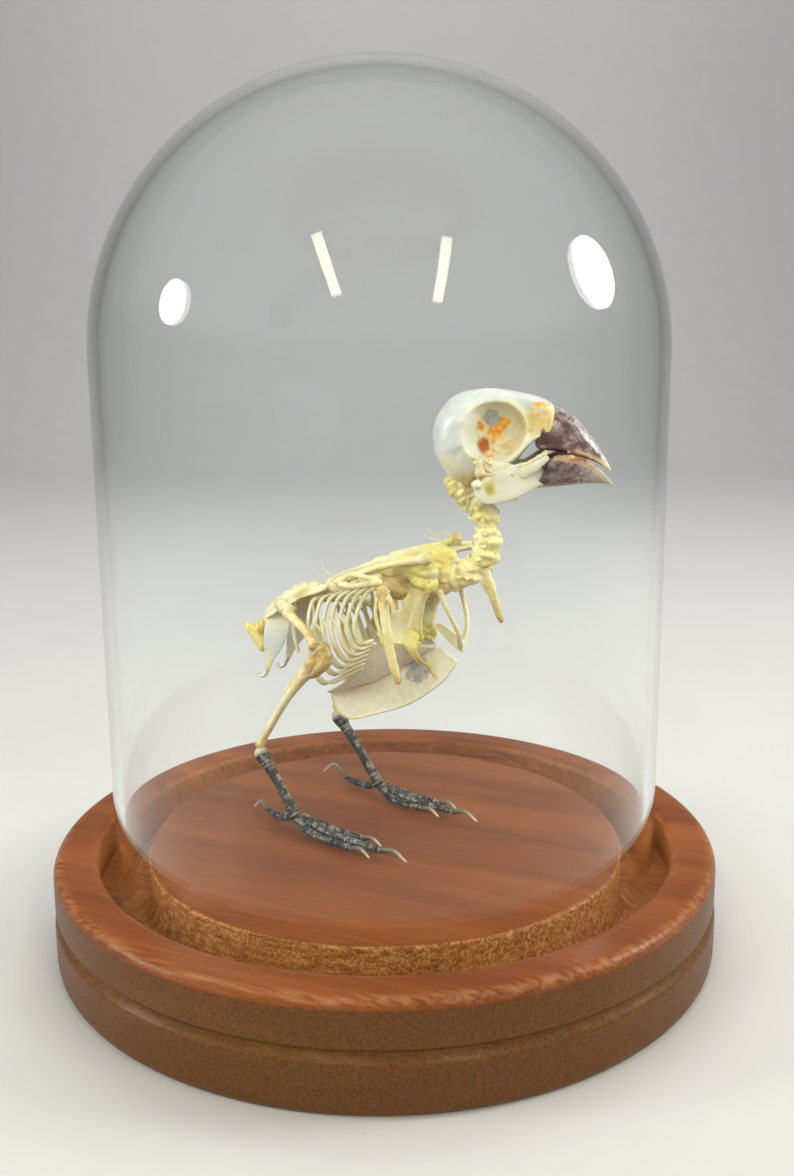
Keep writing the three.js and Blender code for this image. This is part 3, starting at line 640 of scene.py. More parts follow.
# ---- the lower jaw ----
# Two thin flat blades of pale bone, joined at the front under the bill's sheath, each with a joint at
# the back and a strut up to the corner of the mouth.
def dry_bone(name, pale, warm, stain, gloss=0.3, grit=0.35, sheer=0.08):
    """Dry bone: a pale colour that drifts to a warmer one, dried tissue where the stain mark and noise
    say, veins and clear bone where marked, and fine pores."""
    f = bone_finish(name, sheer, (0.9, 0.6, 0.3), 0.0006)
    cloud, patch, fine = f.noise(0.22, 4), f.noise(0.9, 4), f.noise(4, 4)
    f.colour = f.mix((cloud * 0.6 + patch * 0.4).between(0.38, 0.62), pale, warm)
    amount = (f.mark("stain") + (patch - 0.5) * 0.9 + (cloud - 0.5) * 0.5).between(0.2, 0.95)
    f.lay(amount, f.mix(fine.between(0.3, 0.7), stain, tuple(0.62 * c for c in stain)))
    sockets = {"Vector": f.mm, "Scale": 0.7, "Detail": 3}
    veins = f.node("TexNoise", {"noise_type": "RIDGED_MULTIFRACTAL"}, sockets).between(0.9, 1.2)
    f.lay(f.mark("veins") * veins * 0.6, (0.23, 0.12, 0.04))
    f.lay(f.mark("clear") * 0.85, f.mix(patch, (0.52, 0.56, 0.6), (0.64, 0.66, 0.66)))
    pits = fine.between(0.62, 0.75)
    f.lay(pits * 0.22, (0.3, 0.22, 0.11))
    return f.done(
        Roughness=gloss + fine * 0.22,
        Coat_Weight=amount * 0.18,
        Normal=f.bump(patch * 0.6 + fine * 0.4 - pits * 0.3, grit, 0.16),
    )


def jaw_side(side):
    """One blade with its height upright, a joint knob, and the strut to the mouth's corner."""
    def spot(t, a):
        """A round stain a quarter of the way along, over a faint one up the blade."""
        place = ((t - 0.27) / 0.08) ** 2 + ((np.cos(a) - 0.1) / 0.45) ** 2
        return 0.95 * np.exp(-place) + 0.12 + 0.3 * np.cos(a).clip(0, 1)
    return [
        head_bone(
            side, [(0.7, 6.3, 0.1), (3.2, 6, 0.2), (6.5, 5.4, 1.1), (9.4, 4.35, 2.4), (13, 2.5, 3)],
            [(0, 1.4), (0.2, 2.2), (0.45, 2.7), (0.75, 2.7), (1, 2)],
            lambda t, a: 0.3 + 0.42 * np.cos(a).clip(-1, 0) ** 2 + 0.25 * np.cos(a).clip(0, 1) ** 4,
            (48, 30), (0.08, 1.2, 41), UP, stain=spot,
        ),
        head_bone(
            side, [(0.9, 6.9, 0.9), (1.2, 6.1, 1.3), (1.5, 5.2, 1.1)], 0.9, 0.95,
            (20, 18), (0.2, 1.2, 42), AHEAD, stain=0.35,
        ),
        head_bone(
            side, [(8, 4.9, 3.1), (10.8, 4.7, 4.1), (13.6, 4.4, 6)], (1.35, 0.45), 0.26,
            (30, 24), (0.22, 1.2, 43), UP, stain=0.15,
        ),
    ]


chin = head_bone(1, [(12.2, -3, 1.5), (13.2, 0, 1.3), (12.2, 3, 1.5)], 0.5, 0.8, across=AHEAD, stain=0.1)
jaw_bone = dry_bone(
    "jaw_bone", (0.72, 0.72, 0.64), (0.74, 0.7, 0.5), (0.66, 0.52, 0.07), 0.2, 0.35, 0.2
)
piece("jaw_blades", [*jaw_side(1), *jaw_side(-1), chin], jaw_bone, ["jaw"])


# ---- the neck ----
# Small knobbly vertebrae on an S curve, each with spines and wings of bone, still held together by
# dried yellow ligament.
NECK = [(15, 0, 82.6), (17.7, 0, 78.8), (18.6, 0, 74.8), (17.5, 0, 70.6), (14.2, 0, 67.3), (8.6, 0, 65.7)]
VERTEBRAE = 9


def bird(points, side=1):
    """Points given with y outwards from the bird's middle plane, put on the side asked for."""
    return np.array(points, float) * (1, side, 1) + (0, MIDDLE, 0)


def bone(side, way, *sizes, **marks):
    """carried(), its way given to bird()."""
    return carried(bird(way, side), *sizes, **marks)


def spike(base, way, length, thick, seed, stain):
    """A short blunt spine of bone, thinning as it goes."""
    base, way = np.array(base, float), np.array(way, float)
    path = [base - way * 0.4 * thick, base + way * length * 0.5, base + way * length]
    across = SIDEWAYS if abs(way[1]) < 0.7 else AHEAD
    sizes = (thick, 0.28 * thick), (0.6 * thick, 0.24 * thick)
    return carried(path, *sizes, (14, 10), (0.3, 0.9, seed), across, stain=stain)


def neck_length(number):
    """Three vertebrae as one knobbly length, with a spine above, one below and a wing each side of
    every vertebra, and dried muscle round the topmost."""
    def swell(t):
        """1 at each end of a vertebra and 0 at its middle."""
        return 0.5 + 0.5 * np.cos(6 * np.pi * t)
    first = number * 3 / VERTEBRAE
    share = (first + np.array([-0.02, 0.08, 0.17, 0.25, 0.355])).clip(0, 1)
    parts = [carried(
        smooth_way(bird(NECK), share), lambda t, a: 1.85 + 0.45 * swell(t),
        lambda t, a: 1.8 + 0.3 * swell(t) + 0.35 * np.abs(np.sin(a)) ** 3,
        (90, 36), (0.2, 2.5, 50 + number), stain=lambda t, a: 0.42 - 0.32 * swell(t),
    )]
    if number == 0:
        parts.append(head_bone(
            1, [(-3.2, 0, 3.6), (-1.6, 0, 0.6), (0.6, 0, -2), (2.4, 0, -4.4)], (2.9, 2.2),
            lambda t, a: 2.6 - 0.5 * t + 0.3 * np.abs(np.sin(5 * np.pi * t)),
            (60, 36), (0.18, 2.1, 49), stain=0.5,
        ))
    for seed in range(60 + 3 * number, 63 + 3 * number):
        a, b = smooth_way(bird(NECK), (seed - 60 + np.array([0.3, 0.7])) / VERTEBRAE)
        way = (b - a) / np.linalg.norm(b - a)
        back, out, odd = np.cross(way, SIDEWAYS), np.array(SIDEWAYS), seed % 2
        parts += [
            spike(a - back * 1.7, -back * 0.9 - way * 0.5, 1 + 0.45 * (seed % 3), 0.9, seed, 0.2),
            spike(
                b + back * 1.7, back * 0.9 + way * 0.5 * (1 - odd), 0.7 + 0.4 * odd, 0.85,
                seed + 20, 0.4,
            ),
            spike(a + out * 1.9, out * 0.85 + way * 0.5, 1, 0.85, seed + 40, 0.5),
            spike(a - out * 1.9, -out * 0.85 + way * 0.5, 1, 0.85, seed + 60, 0.5),
        ]
    return parts


neck_bone = dry_bone(
    "neck_bone", (0.86, 0.8, 0.46), (0.8, 0.71, 0.3), (0.72, 0.54, 0.17), 0.3, 0.6, 0.14
)
for number, part in enumerate(["neck_upper", "neck_middle", "neck_lower"]):
    piece(part + "_vertebrae", neck_length(number), neck_bone, [part])


# ---- the rib cage ----
# The back's vertebrae, grown together into a beam, with seven thin ribs a side that turn forward at
# a joint to meet the breastbone. Dried muscle still fills the space under the beam's front end.
BACK = [(8.8, 0, 65.9), (1.3, 0, 65.4), (-4, 0, 65), (-9.1, 0, 64), (-14.8, 0, 62.1)]
RIBS, HOOKED_RIBS = 7, range(1, 6)
REAR_RIB = [(-14.2, 0.9, 61.8), (-15, 5, 60.6), (-14.6, 7.4, 54), (-11.8, 7.4, 46.3), (-3.4, 6.6, 49.6)]
FRONT_RIB = [(-3.2, 0.9, 64), (-3.6, 6, 62.8), (-4.4, 8.2, 58.4), (-3.2, 8, 54.8), (-0.9, 7.4, 55.3)]


def between(a, b, t):
    """What lies at share t of the way from a to b."""
    return np.array(a, float) + (np.array(b, float) - np.array(a, float)) * t


def rib(k, side):
    """One rib: out from the beam, down the side, and forward to the breastbone. Those in the middle
    have a hook that points back."""
    share = k / (RIBS - 1)
    way = between(REAR_RIB, FRONT_RIB, share ** np.array([[1], [1], [1], [0.8], [1]]))
    knob = bells((0.1, 0.74, 0.04))
    rod = bone(
        side, way, lambda t, a: 0.5 + 0.12 * np.cos(3 * np.pi * t) + knob(t, a), 0.34,
        (72, 12), (0.1, 2, 100 + k), (1, 0, 0.2),
        stain=lambda t, a: 0.5 * np.exp(-((t / 0.14) ** 2)) + 0.12 * (t > 0.72),
    )
    if k not in HOOKED_RIBS:
        return [rod]
    root = smooth_way(bird(way, side), np.array([0.5]))[0]
    path = [root, root + (-1, 0, 1.3), root + (-2.3, 0, 2.3)]
    return [rod, carried(path, (0.4, 0.2), 0.28, (16, 10), (0, 1, 1), (1, 0, 1), stain=0.05)]


beam = bone(
    1, BACK, lambda t, a: 1.7 + 0.221 * np.cos(18 * np.pi * t),
    lambda t, a: (1.5 + 0.45 * np.abs(np.sin(a)) ** 4) * (1 + 0.13 * np.cos(18 * np.pi * t)),
    (110, 32), (0.1, 1.4, 130), stain=0.3,
)
crest = [
    spike(point + (0, 0, 1.3), (-0.5, 0, 0.86), 1.2, 0.8, 140 + k, 0.2)
    for k, point in enumerate(smooth_way(bird(BACK), np.linspace(0.05, 0.95, 9)))
]
rib_bone = dry_bone("rib_bone", (0.7, 0.66, 0.46), (0.66, 0.58, 0.33), (0.6, 0.44, 0.13), 0.3, 0.4, 0.1)
ribs = [part for k in range(RIBS) for side in (1, -1) for part in rib(k, side)]
piece("rib_cage", [beam, *crest, *ribs], rib_bone, ["rib_cage_left", "rib_cage_right"])

muscle = bone(
    1, [(-3.5, 0, 64), (2, 0, 64.2), (7, 0, 64.6), (12, 0, 66.4)], (4.6, 2.8),
    lambda t, a: 2 + 0.6 * np.sin(np.pi * t), (60, 40), (0.13, 4, 150), stain=0.35, veins=0.5,
)
dried = dry_bone(
    "chest_muscle", (0.66, 0.52, 0.22), (0.6, 0.42, 0.14), (0.5, 0.3, 0.08), 0.36, 0.8, 0.1
)
piece("chest_muscle", [muscle], dried, [])


# ---- the breastbone ----
# A trough of bone so thin that it lets light through, with a deep keel below it, edged by a thicker
# rim that is still yellow at the back.
TROUGH_FRONT, TROUGH_REAR = (8.4, 53.4), (-13.6, 42.2)
TROUGH_WIDTH = [(0, 3.4), (0.15, 5), (0.45, 6.4), (0.75, 4.6), (1, 2)]
TROUGH_RISE = [(0, 0.6), (0.25, 5), (0.42, 6.4), (0.6, 3.6), (0.8, 1.6), (1, 0.5)]
KEEL = [
    (-14, 42.1), (-12.9, 38.7), (-11.2, 37.4), (-9.2, 37), (-5.3, 38.2), (1.1, 40.5), (5.2, 42.8),
    (9.3, 46), (11.6, 48.8), (12.7, 50.9), (11, 52), (8.2, 53.1), (2, 49), (-5, 45),
]
PORES_AT = (4.6, 0, 48.4)


def trough():
    """At share t and angle a the trough's side is width cos a out, rises with its square, and sags
    along its middle; its two faces stand off by a thickness times sin a."""
    t = (1 - np.cos(np.linspace(0, np.pi, 60)[:, None])) / 2
    a = np.linspace(0, 2 * np.pi, 96, endpoint=False)[None, :]
    w = np.cos(a)
    s, z = (between(*ends, t) for ends in zip(TROUGH_FRONT, TROUGH_REAR))
    s = s - 2.2 * w**2 * (1 - t) ** 2
    z = z + along(t, TROUGH_RISE) * w**2 - 1.4 * np.sin(np.pi * t) + (0.16 + 0.28 * w**8) * np.sin(a)
    return skin(np.stack([s, along(t, TROUGH_WIDTH) * w + MIDDLE, z], -1), rim=w**8, share=t)


def plate(outline, thick, rim_thick, rim_width, centre, seed, cols, rows):
    """A flat plate in the bird's middle plane, its rows running out from the centre. The half thickness
    is thick, grows to rim_thick within rim_width of the edge, and rounds to nothing there."""
    ring = smooth_way([*outline, outline[0]], np.linspace(0, 1, cols, endpoint=False))
    o = np.sin(np.linspace(0.02, np.pi / 2, rows))[:, None]
    near = np.exp(-(((1 - o) * np.linalg.norm(ring - centre, axis=1) / rim_width) ** 2))
    half = (thick + (rim_thick - thick) * near) * np.sqrt((1 - o**40).clip(0, 1))
    s, z = np.moveaxis(centre + o[..., None] * (ring - centre), -1, 0)
    half = half * (1 + 0.12 * ripple(np.stack([s, 0 * s, z], -1), 3, seed))
    verts, *rest = both_faces(s, half, z, rim=near, share=(s - s.min()) / np.ptp(s))
    return verts + (0, MIDDLE, 0), *rest


def thin_bone():
    """Bone thin enough to see light through: mottled cream, with a grey patch of fine pores. Where its
    share mark is low it is pinkish, with a yellow rim."""
    f = bone_finish("thin_bone", 0.3, (1, 0.8, 0.55), 0.0012)
    cloud, mottle, fine = f.noise(0.25, 4), f.noise(1.1, 5, None, 0.65), f.noise(4.5, 3)
    share, rim = f.mark("share"), f.mark("rim")
    mottled = (mottle * 0.7 + cloud * 0.3).between(0.38, 0.62)
    f.colour = f.mix(mottled, (0.74, 0.71, 0.56), (0.86, 0.83, 0.69))
    f.lay((1 - share.between(0.05, 0.55)) * cloud.between(0.3, 0.65) * 0.35, (0.7, 0.56, 0.42))
    rear_rim = rim * (1 - share.between(0.25, 0.6)) + (mottle - 0.5) * 0.5
    f.lay(rear_rim.between(0.25, 0.8) * 0.9, (0.68, 0.52, 0.16))
    f.lay((rim * share.between(0.3, 0.6)).between(0.2, 1) * 0.6, (0.7, 0.68, 0.5))
    flat = f.node("VectorMath", {"operation": "MULTIPLY"}, {0: f.mm, 1: (1, 0, 1)})
    away = f.node("VectorMath", {"operation": "DISTANCE"}, {0: flat, 1: PORES_AT}, 1)
    pores = 1 - (away + (mottle - 0.5) * 3).between(1.9, 3)
    f.lay(pores * 0.75, f.mix(mottle.between(0.42, 0.58), (0.24, 0.25, 0.26), (0.47, 0.47, 0.44)))
    return f.done(
        Roughness=0.3 + fine * 0.2,
        Coat_Weight=cloud * 0.15,
        Normal=f.bump(mottle * 0.7 + fine * 0.3, 0.4, 0.15),
    )


keel = plate(KEEL, 0.22, 0.5, 0.8, np.array([0, 44.5]), 160, 160, 30)
piece("breastbone", [trough(), keel], thin_bone(), ["sternum"])


# ---- the pelvis ----
# The hip's long roof of bone each side of the fused spine, with a leaf of bone behind the leg that
# ends in a small hook, and a thin rod hanging in front of it.
SACRUM = [(-14.8, 0, 62.5), (-19.9, 0, 61.4), (-24.5, 0, 58.8), (-27.4, 0, 56)]


def hip(side):
    """The roof, the leaf, its hook, the rod and the block that holds the thigh."""
    return [bone(side, *sizes, **marks) for *sizes, marks in (
        ([(-12.6, 3.2, 63.6), (-17.6, 3.2, 62.1), (-21.8, 3.6, 59.8), (-26, 3.3, 56.8)],
         [(0, 0.9), (0.2, 1.9), (0.7, 2.8), (1, 1.5)], 0.42, (60, 30), (0.12, 2.2, 170),
         (0, 1, -0.35 * side), {"stain": bells((0.55, 0.35, 0.16), rest=0.15)}),
        ([(-21.9, 4.4, 60), (-23, 4.9, 54.6), (-24.7, 4.4, 49.8), (-25.7, 4, 46.2)],
         [(0, 2.3), (0.3, 2.6), (0.5, 2.1), (0.75, 1), (1, 0.45)],
         lambda t, a: 0.17 + 0.12 * np.abs(np.cos(a)) ** 6, (60, 34), (0.04, 2.2, 171), (1, 0, 0.3),
         {"stain": bells((0.8, 0, 0.12)), "clear": bells((1, 0.5, 0.3))}),
        ([(-25.5, 4, 47.2), (-26.2, 3.9, 45.4), (-27.3, 3.8, 45), (-28, 3.8, 45.9)],
         (0.5, 0.4), 0.34, (24, 12), (0.1, 1.2, 172), {"clear": 0.6}),
        ([(-19.2, 4, 61.2), (-19, 4.9, 55), (-18.3, 4.6, 50.6)],
         0.42, 0.3, (40, 12), (0.1, 1.6, 173), AHEAD, {"stain": 0.05}),
        ([(-22.6, 4.2, 60.6), (-20.3, 5.6, 59.5), (-18.2, 5.2, 58.9)],
         1.5, 1.3, (30, 22), (0.16, 1.8, 174), {"stain": 0.45}),
    )]


sacrum = bone(
    1, SACRUM, (2.3, 1.6), lambda t, a: (1.9 - 0.6 * t) * (1 + 0.1 * np.cos(16 * np.pi * t)),
    (80, 28), (0.12, 1.6, 175), stain=0.35,
)
hip_bone = dry_bone(
    "pelvis_bone", (0.72, 0.69, 0.5), (0.68, 0.6, 0.32), (0.6, 0.43, 0.11), 0.3, 0.4, 0.12
)
piece("hip_bones", [sacrum, *hip(1), *hip(-1)], hip_bone, ["pelvis"])


# ---- the tail ----
# Three loose tail vertebrae and the upright plough-share of bone that held the tail feathers.
TAIL_BLADE = [
    (-28.9, 53.4), (-30.6, 54), (-32.4, 54.5), (-32.7, 53.5), (-31, 51), (-29.4, 48.9), (-28.2, 49.4),
    (-28.2, 51.6),
]
tail_root = bone(
    1, [(-26.9, 0, 55.4), (-28.4, 0, 54), (-30, 0, 52.9)], lambda t, a: 1.5 + 0.4 * np.cos(6 * np.pi * t),
    lambda t, a: 1.3 + 0.3 * np.cos(6 * np.pi * t), (46, 22), (0.2, 1.3, 180), stain=0.4,
)
blade = plate(TAIL_BLADE, 0.8, 0.5, 0.6, np.array([-29.8, 52]), 181, 90, 20)
tail_bone = dry_bone("tail_bone", (0.74, 0.66, 0.28), (0.72, 0.58, 0.13), (0.6, 0.42, 0.07), 0.3, 0.6)
piece("tail_bones", [tail_root, blade], tail_bone, ["tail"])


# ---- the shoulders ----
# On each side a strong strut down to the breastbone, with a dried sheet behind it, and a blade back
# along the ribs meet at the wing's socket; the wishbone's arms run down in front. Yellow muscle is left.
SIDES = {"left": 1, "right": -1}
WISH_BLADE = [
    (13.6, 52.6), (14, 53.8), (13.7, 54.9), (11.6, 56.6), (9.6, 57.7), (8.3, 57.3), (10, 55.4), (12, 53.6)
]
# dried muscle on each side: carried()'s way and sizes, and then its stain
LUMPS = [
    ([(3.4, 5.2, 69), (6.6, 5.9, 69.2), (10.4, 6, 69.3)], 1.9, 2.2, (64, 44), (0.16, 2.6, 200), 0.15),
    ([(5.4, 4.8, 68.2), (8.4, 5.3, 66.4), (10.8, 4.8, 66)], 1.8, 1.7, (50, 36), (0.17, 2.4, 201), 0.3),
    ([(-0.6, 4.9, 67.6), (2.4, 5.2, 68.4), (5, 5.4, 69.2)],
     (1, 1.5), (1.1, 1.6), (44, 30), (0.18, 2.2, 203), 0.5),
    ([(5.5, 3.4, 57), (5, 3, 54.9), (4.6, 2.6, 53.6)], 1.5, 0.9, (34, 26), (0.2, 1.6, 204), AHEAD, 0.1),
    ([(5.3, 3.8, 56.4), (5.5, 5, 53.8), (6.3, 3.4, 51.2), (7.4, 1.1, 49.6), (8.6, 0.3, 47)],
     [(0, 1.7), (0.25, 1.1), (0.5, 0.65), (1, 0.35)], (0.38, 0.23),
     (60, 20), (0.25, 1.6, 205), AHEAD, 0.1),
]
FIBRES = [
    [(9.6, 7.2, 72.6), (7.6, 7.6, 73.6), (5.6, 7.4, 73), (4.2, 7, 74.2)],
    [(8.4, 7, 72.4), (5.2, 7.3, 72.2), (2.8, 7, 73.2), (2.2, 6.8, 72.7)],
    [(-13.8, 1.6, 63.6), (-14.6, 1.9, 65.2), (-16, 2.2, 66), (-16.4, 2.4, 67.6)],
    [(-14.2, 1.2, 63.6), (-15.6, 1.6, 64.8), (-17.6, 1.7, 65.4)],
]
strut_bone = dry_bone(
    "strut_bone", (0.78, 0.74, 0.5), (0.74, 0.66, 0.34), (0.7, 0.6, 0.14), 0.3, 0.4, 0.2
)
for name, side in SIDES.items():
    strut = bone(
        side, [(10.2, 6, 69.6), (7.4, 4.9, 63.4), (5.7, 3.4, 58), (5.2, 2.8, 54.4)],
        [(0, 1.7), (0.15, 1.3), (0.5, 1.1), (0.85, 1.7), (1, 2.2)], [(0, 1.2), (0.3, 0.7), (1, 0.6)],
        (56, 24), (0.1, 2, 190), AHEAD, stain=bells((0.6, 0.9, 0.2), rest=0.3),
    )
    sheet = bone(
        side, [(6.8, 4.6, 65), (4.6, 3.9, 60.4), (2.2, 3.4, 56.8), (-0.6, 4.2, 53.2)],
        [(0, 1.5), (0.35, 2.2), (0.7, 3.3), (1, 2)], lambda t, a: 0.35 + 0.15 * np.sin(9 * t),
        (70, 44), (0.22, 3.2, 194), (1, 0, 0.3), stain=lambda t, a: 0.3 + 0.25 * np.sin(7 * t), veins=0.5,
    )
    piece(name + "_coracoid", [strut, sheet], strut_bone, ["coracoid_" + name])
    back_blade = bone(
        side, [(8.4, 6.2, 70.6), (1, 5.6, 69), (-5, 5, 67.3), (-10.6, 4.4, 65.6)],
        [(0, 1.7), (0.12, 1.2), (0.5, 1.15), (0.85, 0.9), (1, 0.4)], [(0, 0.9), (0.2, 0.42), (1, 0.26)],
        (56, 22), (0.08, 2, 191), (0, 0.35 * side, 1), stain=bells((0.7, 0, 0.16)),
    )
    piece(name + "_scapula", [back_blade], rib_bone, ["scapula_" + name])

arms = [
    bone(
        side, [(11, 5.2, 65.2), (12.3, 4.5, 61.4), (13.7, 2.6, 57), (13.3, 0.1, 53.2)],
        lambda t, a: 0.62 - 0.14 * np.sin(np.pi * t), 0.44, (60, 16), (0.1, 2, 192), AHEAD, stain=0.05,
    )
    for side in SIDES.values()
]
wish_blade = plate(WISH_BLADE, 0.3, 0.4, 0.5, np.array([11.4, 55.6]), 193, 90, 18)
piece("forked_wishbone", [*arms, wish_blade], rib_bone, ["wishbone"])

dried = dry_bone(
    "yellow_muscle", (0.74, 0.67, 0.25), (0.7, 0.6, 0.18), (0.62, 0.47, 0.12), 0.34, 0.8, 0.15
)
lumps = [bone(side, *sizes, stain=stain) for side in SIDES.values() for *sizes, stain in LUMPS]
piece("yellow_muscle", lumps, dried, [])
hairs = [bone(1, way, (0.15, 0.06), (0.13, 0.06), (30, 8)) for way in FIBRES]
piece("loose_fibres", hairs, rib_bone, [])


# ---- the wings ----
# Each wing hangs folded from its shoulder: one upper bone back to the elbow, two parallel bones
# forward to the wrist, and the hand's fused bones hanging down with a small free thumb.
WING = {  # shoulder, elbow and wrist, then four points down the hand
    "left": [
        (11, 7, 73), (-9.4, 9, 66.4), (10.6, 18, 70),
        (10.9, 18, 68.8), (12.4, 17.6, 64.4), (14, 17, 60), (16, 16.8, 54.8),
    ],
    "right": [
        (11, 7, 71.4), (-8.8, 9, 65.5), (5.2, 18, 68.4),
        (5.5, 18, 67.2), (6, 18, 62.4), (6.6, 17.8, 57), (8.2, 17.2, 50.4),
    ],
}
PALM = [(0, 0.9), (0.08, 1.3), (0.3, 0.85), (0.55, 1.05), (0.7, 0.85), (0.85, 0.8), (1, 0.5)]


def past(a, b, distance):
    """The point that far from a on the way to b, in mm."""
    return between(a, b, distance / np.linalg.norm(np.subtract(b, a)))


def shaft(middle, first, last):
    """A long bone's half thickness: a slim shaft that swells at both ends."""
    return [
        (0, first * 0.9), (0.06, first), (0.18, middle * 1.12), (0.5, middle), (0.82, middle * 1.08),
        (0.94, last), (1, last * 0.9),
    ]


def long_bone(side, way, widths, flat, seed, **marks):
    """A long bone, a little flatter than wide, with a groove between the two knobs of each end."""
    ends = bells((1, 0, 0.09), (1, 1, 0.09))
    return bone(
        side, way, lambda t, a: along(t, widths) * (1 + 0.1 * ends(t, a) * np.cos(2 * a)),
        lambda t, a: along(t, widths) * flat * (1 - 0.22 * ends(t, a) * np.abs(np.sin(a)) ** 6),
        (72, 24), (0.07, 1.8, seed), **marks,
    )


wing_bone = dry_bone(
    "wing_bone", (0.76, 0.71, 0.44), (0.7, 0.62, 0.28), (0.6, 0.43, 0.12), 0.28, 0.4, 0.12
)
hand_bone = dry_bone(
    "hand_bone", (0.78, 0.72, 0.42), (0.72, 0.62, 0.25), (0.62, 0.4, 0.1), 0.3, 0.5, 0.12
)
for name, side in SIDES.items():
    shoulder, elbow, wrist, start, knuckle, joint, tip = np.array(WING[name], float)
    arm = long_bone(
        side, [past(shoulder, elbow, 0.4), (1.4, 9.2, 69.4), past(elbow, shoulder, 1)],
        shaft(0.85, 1.7, 1.3), 0.8, 210, stain=bells((0.7, 0, 0.12), (0.5, 1, 0.08)),
    )
    piece(name + "_humerus", [arm], wing_bone, ["humerus_" + name])
    bow = past(wrist, elbow, 9)
    ulna = long_bone(
        side, [past(elbow, wrist, 3.8), bow + (0, 0, -0.5), past(wrist, elbow, 0.1)],
        shaft(0.62, 1.05, 0.95), 0.9, 211, stain=bells((0.5, 0, 0.1), rest=0.2),
    )
    rear, front = past(elbow, wrist, 4.2) + (0, 0, 0.9), past(wrist, elbow, 0.6) + (0, 0, 0.3)
    radius = long_bone(side, [rear, bow + (0, 0, 1.5), front], shaft(0.42, 0.6, 0.65), 1, 212, stain=0.1)
    piece(name + "_forearm", [ulna, radius], wing_bone, ["forearm_" + name])
    palm = bone(
        side, [start + (0, 0, 0.6), knuckle, joint, tip], PALM, 0.55, (70, 22), (0.14, 1.8, 213),
        (1, 0, 0.2), stain=bells((0.5, 0.1, 0.12), (0.6, 1, 0.12), rest=0.25),
    )
    strut = bone(
        side, [between(start, knuckle, 0.25) + (-1, 0, 0), knuckle + (-1.7, 0, 0), joint + (-1, 0, 0.4)],
        0.32, 0.3, (40, 12), (0.1, 1.6, 214), AHEAD, stain=0.2,
    )
    thumb = bone(
        side, start + [(0.5, 0, -0.6), (1.7, 0.2, -1.9), (2.4, 0.2, -4.2)], (0.62, 0.27), (0.42, 0.27),
        (30, 14), (0.2, 1.4, 215), AHEAD, stain=0.4,
    )
    piece(name + "_hand", [palm, strut, thumb], hand_bone, ["hand_" + name])


# ---- the legs ----
# The thigh runs forward to a knee still wrapped in dried tendon; the shin tapers back to the ankle
# with a splint of thin bone beside it.
HIP = (-20.3, 6.4, 59.4)
LEG = {  # knee, ankle and foot
    "left": [(-6.5, 11.5, 57.7), (-18.5, 11, 34.6), (-7.5, 9.4, 19.9)],
    "right": [(-9.6, 12, 52.8), (-24.8, 10, 32.4), (-15.5, 11.8, 19.9)],
}
SHIN = [(0, 1.5), (0.1, 1.75), (0.22, 1.35), (0.45, 0.95), (0.86, 0.8), (0.95, 1.15), (1, 1.2)]
leg_bone = dry_bone(
    "leg_bone", (0.76, 0.7, 0.44), (0.66, 0.54, 0.25), (0.56, 0.36, 0.09), 0.26, 0.4, 0.12
)
for name, side in SIDES.items():
    knee, ankle, foot = np.array(LEG[name], float)
    thigh = long_bone(
        side, [past(HIP, knee, 0.5), between(HIP, knee, 0.5) + (0.5, 0, 0.4), past(knee, HIP, 1.6)],
        shaft(0.9, 1.25, 1.5), 0.85, 220, stain=lambda t, a: 0.3 + 0.5 * t**4,
    )
    piece(name + "_femur", [thigh], leg_bone, ["femur_" + name])
    shin = long_bone(
        side, [past(knee, ankle, 0.4), between(knee, ankle, 0.45) + (-0.9, 0, 0), past(ankle, knee, 0.2)],
        SHIN, 0.9, 221, stain=bells((0.9, 0, 0.2), (0.5, 1, 0.05), rest=0.12), veins=bells((1, 0, 0.2)),
    )
    beside = (0.1, (-1.5, 0.3, 0)), (0.35, (-2.1, 0.2, 0)), (0.66, (-0.8, 0.1, -0.2))
    splint = bone(
        side, [between(knee, ankle, share) + off for share, off in beside], (0.32, 0.17), (0.28, 0.16),
        (40, 10), (0.1, 1.6, 222), AHEAD, stain=0.1,
    )
    tendon = bone(
        side,
        [*(knee + [(-0.6, 0.2, 1.6), (0.7, 0.2, 0.4), (0.3, 0.2, -1.8)]), between(knee, ankle, 0.22)],
        (1.75, 1.25), (1.7, 1.1), (46, 30), (0.14, 2.2, 223), stain=0.8, veins=1,
    )
    piece(name + "_tibia", [shin, splint, tendon], leg_bone, ["tibia_" + name])


# ---- the feet ----
# Below the ankle the dry skin is still on: dark grey scales with pale edges, ringed across the front
# of the shank and along each toe. The three front toes lie close together; the first points back.
PLATEAU = 17.9  # mm, the height of the base's middle
FOOT_TURN = np.radians(-15)
SHANK_SCALES = 19
SHANK_WIDE = [(0, 1.25), (0.1, 1.4), (0.25, 0.95), (0.6, 0.85), (0.9, 1.1), (1, 1.2)]
SHANK_DEEP = [(0, 1.3), (0.1, 1.6), (0.25, 1.15), (0.6, 0.95), (0.9, 1.1), (1, 1.1)]
# each toe's turn outwards in degrees, its shift across, its half thickness, how far its claw arches
# and its seed, then its length and its claw's on the left foot and on the right
TOES = {
    "hallux": (172, 0, 0.75, 0.26, 360, (8.8, 8.2), (7.6, 4.8)),
    "toe_inner": (2, 1.9, 0.75, 0.13, 354, (11, 4.4), (13, 4.4)),
    "toe_middle": (0, 0, 0.8, 0.13, 341, (16.8, 6), (19.2, 6)),
    "toe_outer": (-2, -1.9, 0.75, 0.13, 354, (12, 4.4), (14.4, 4.4)),
}


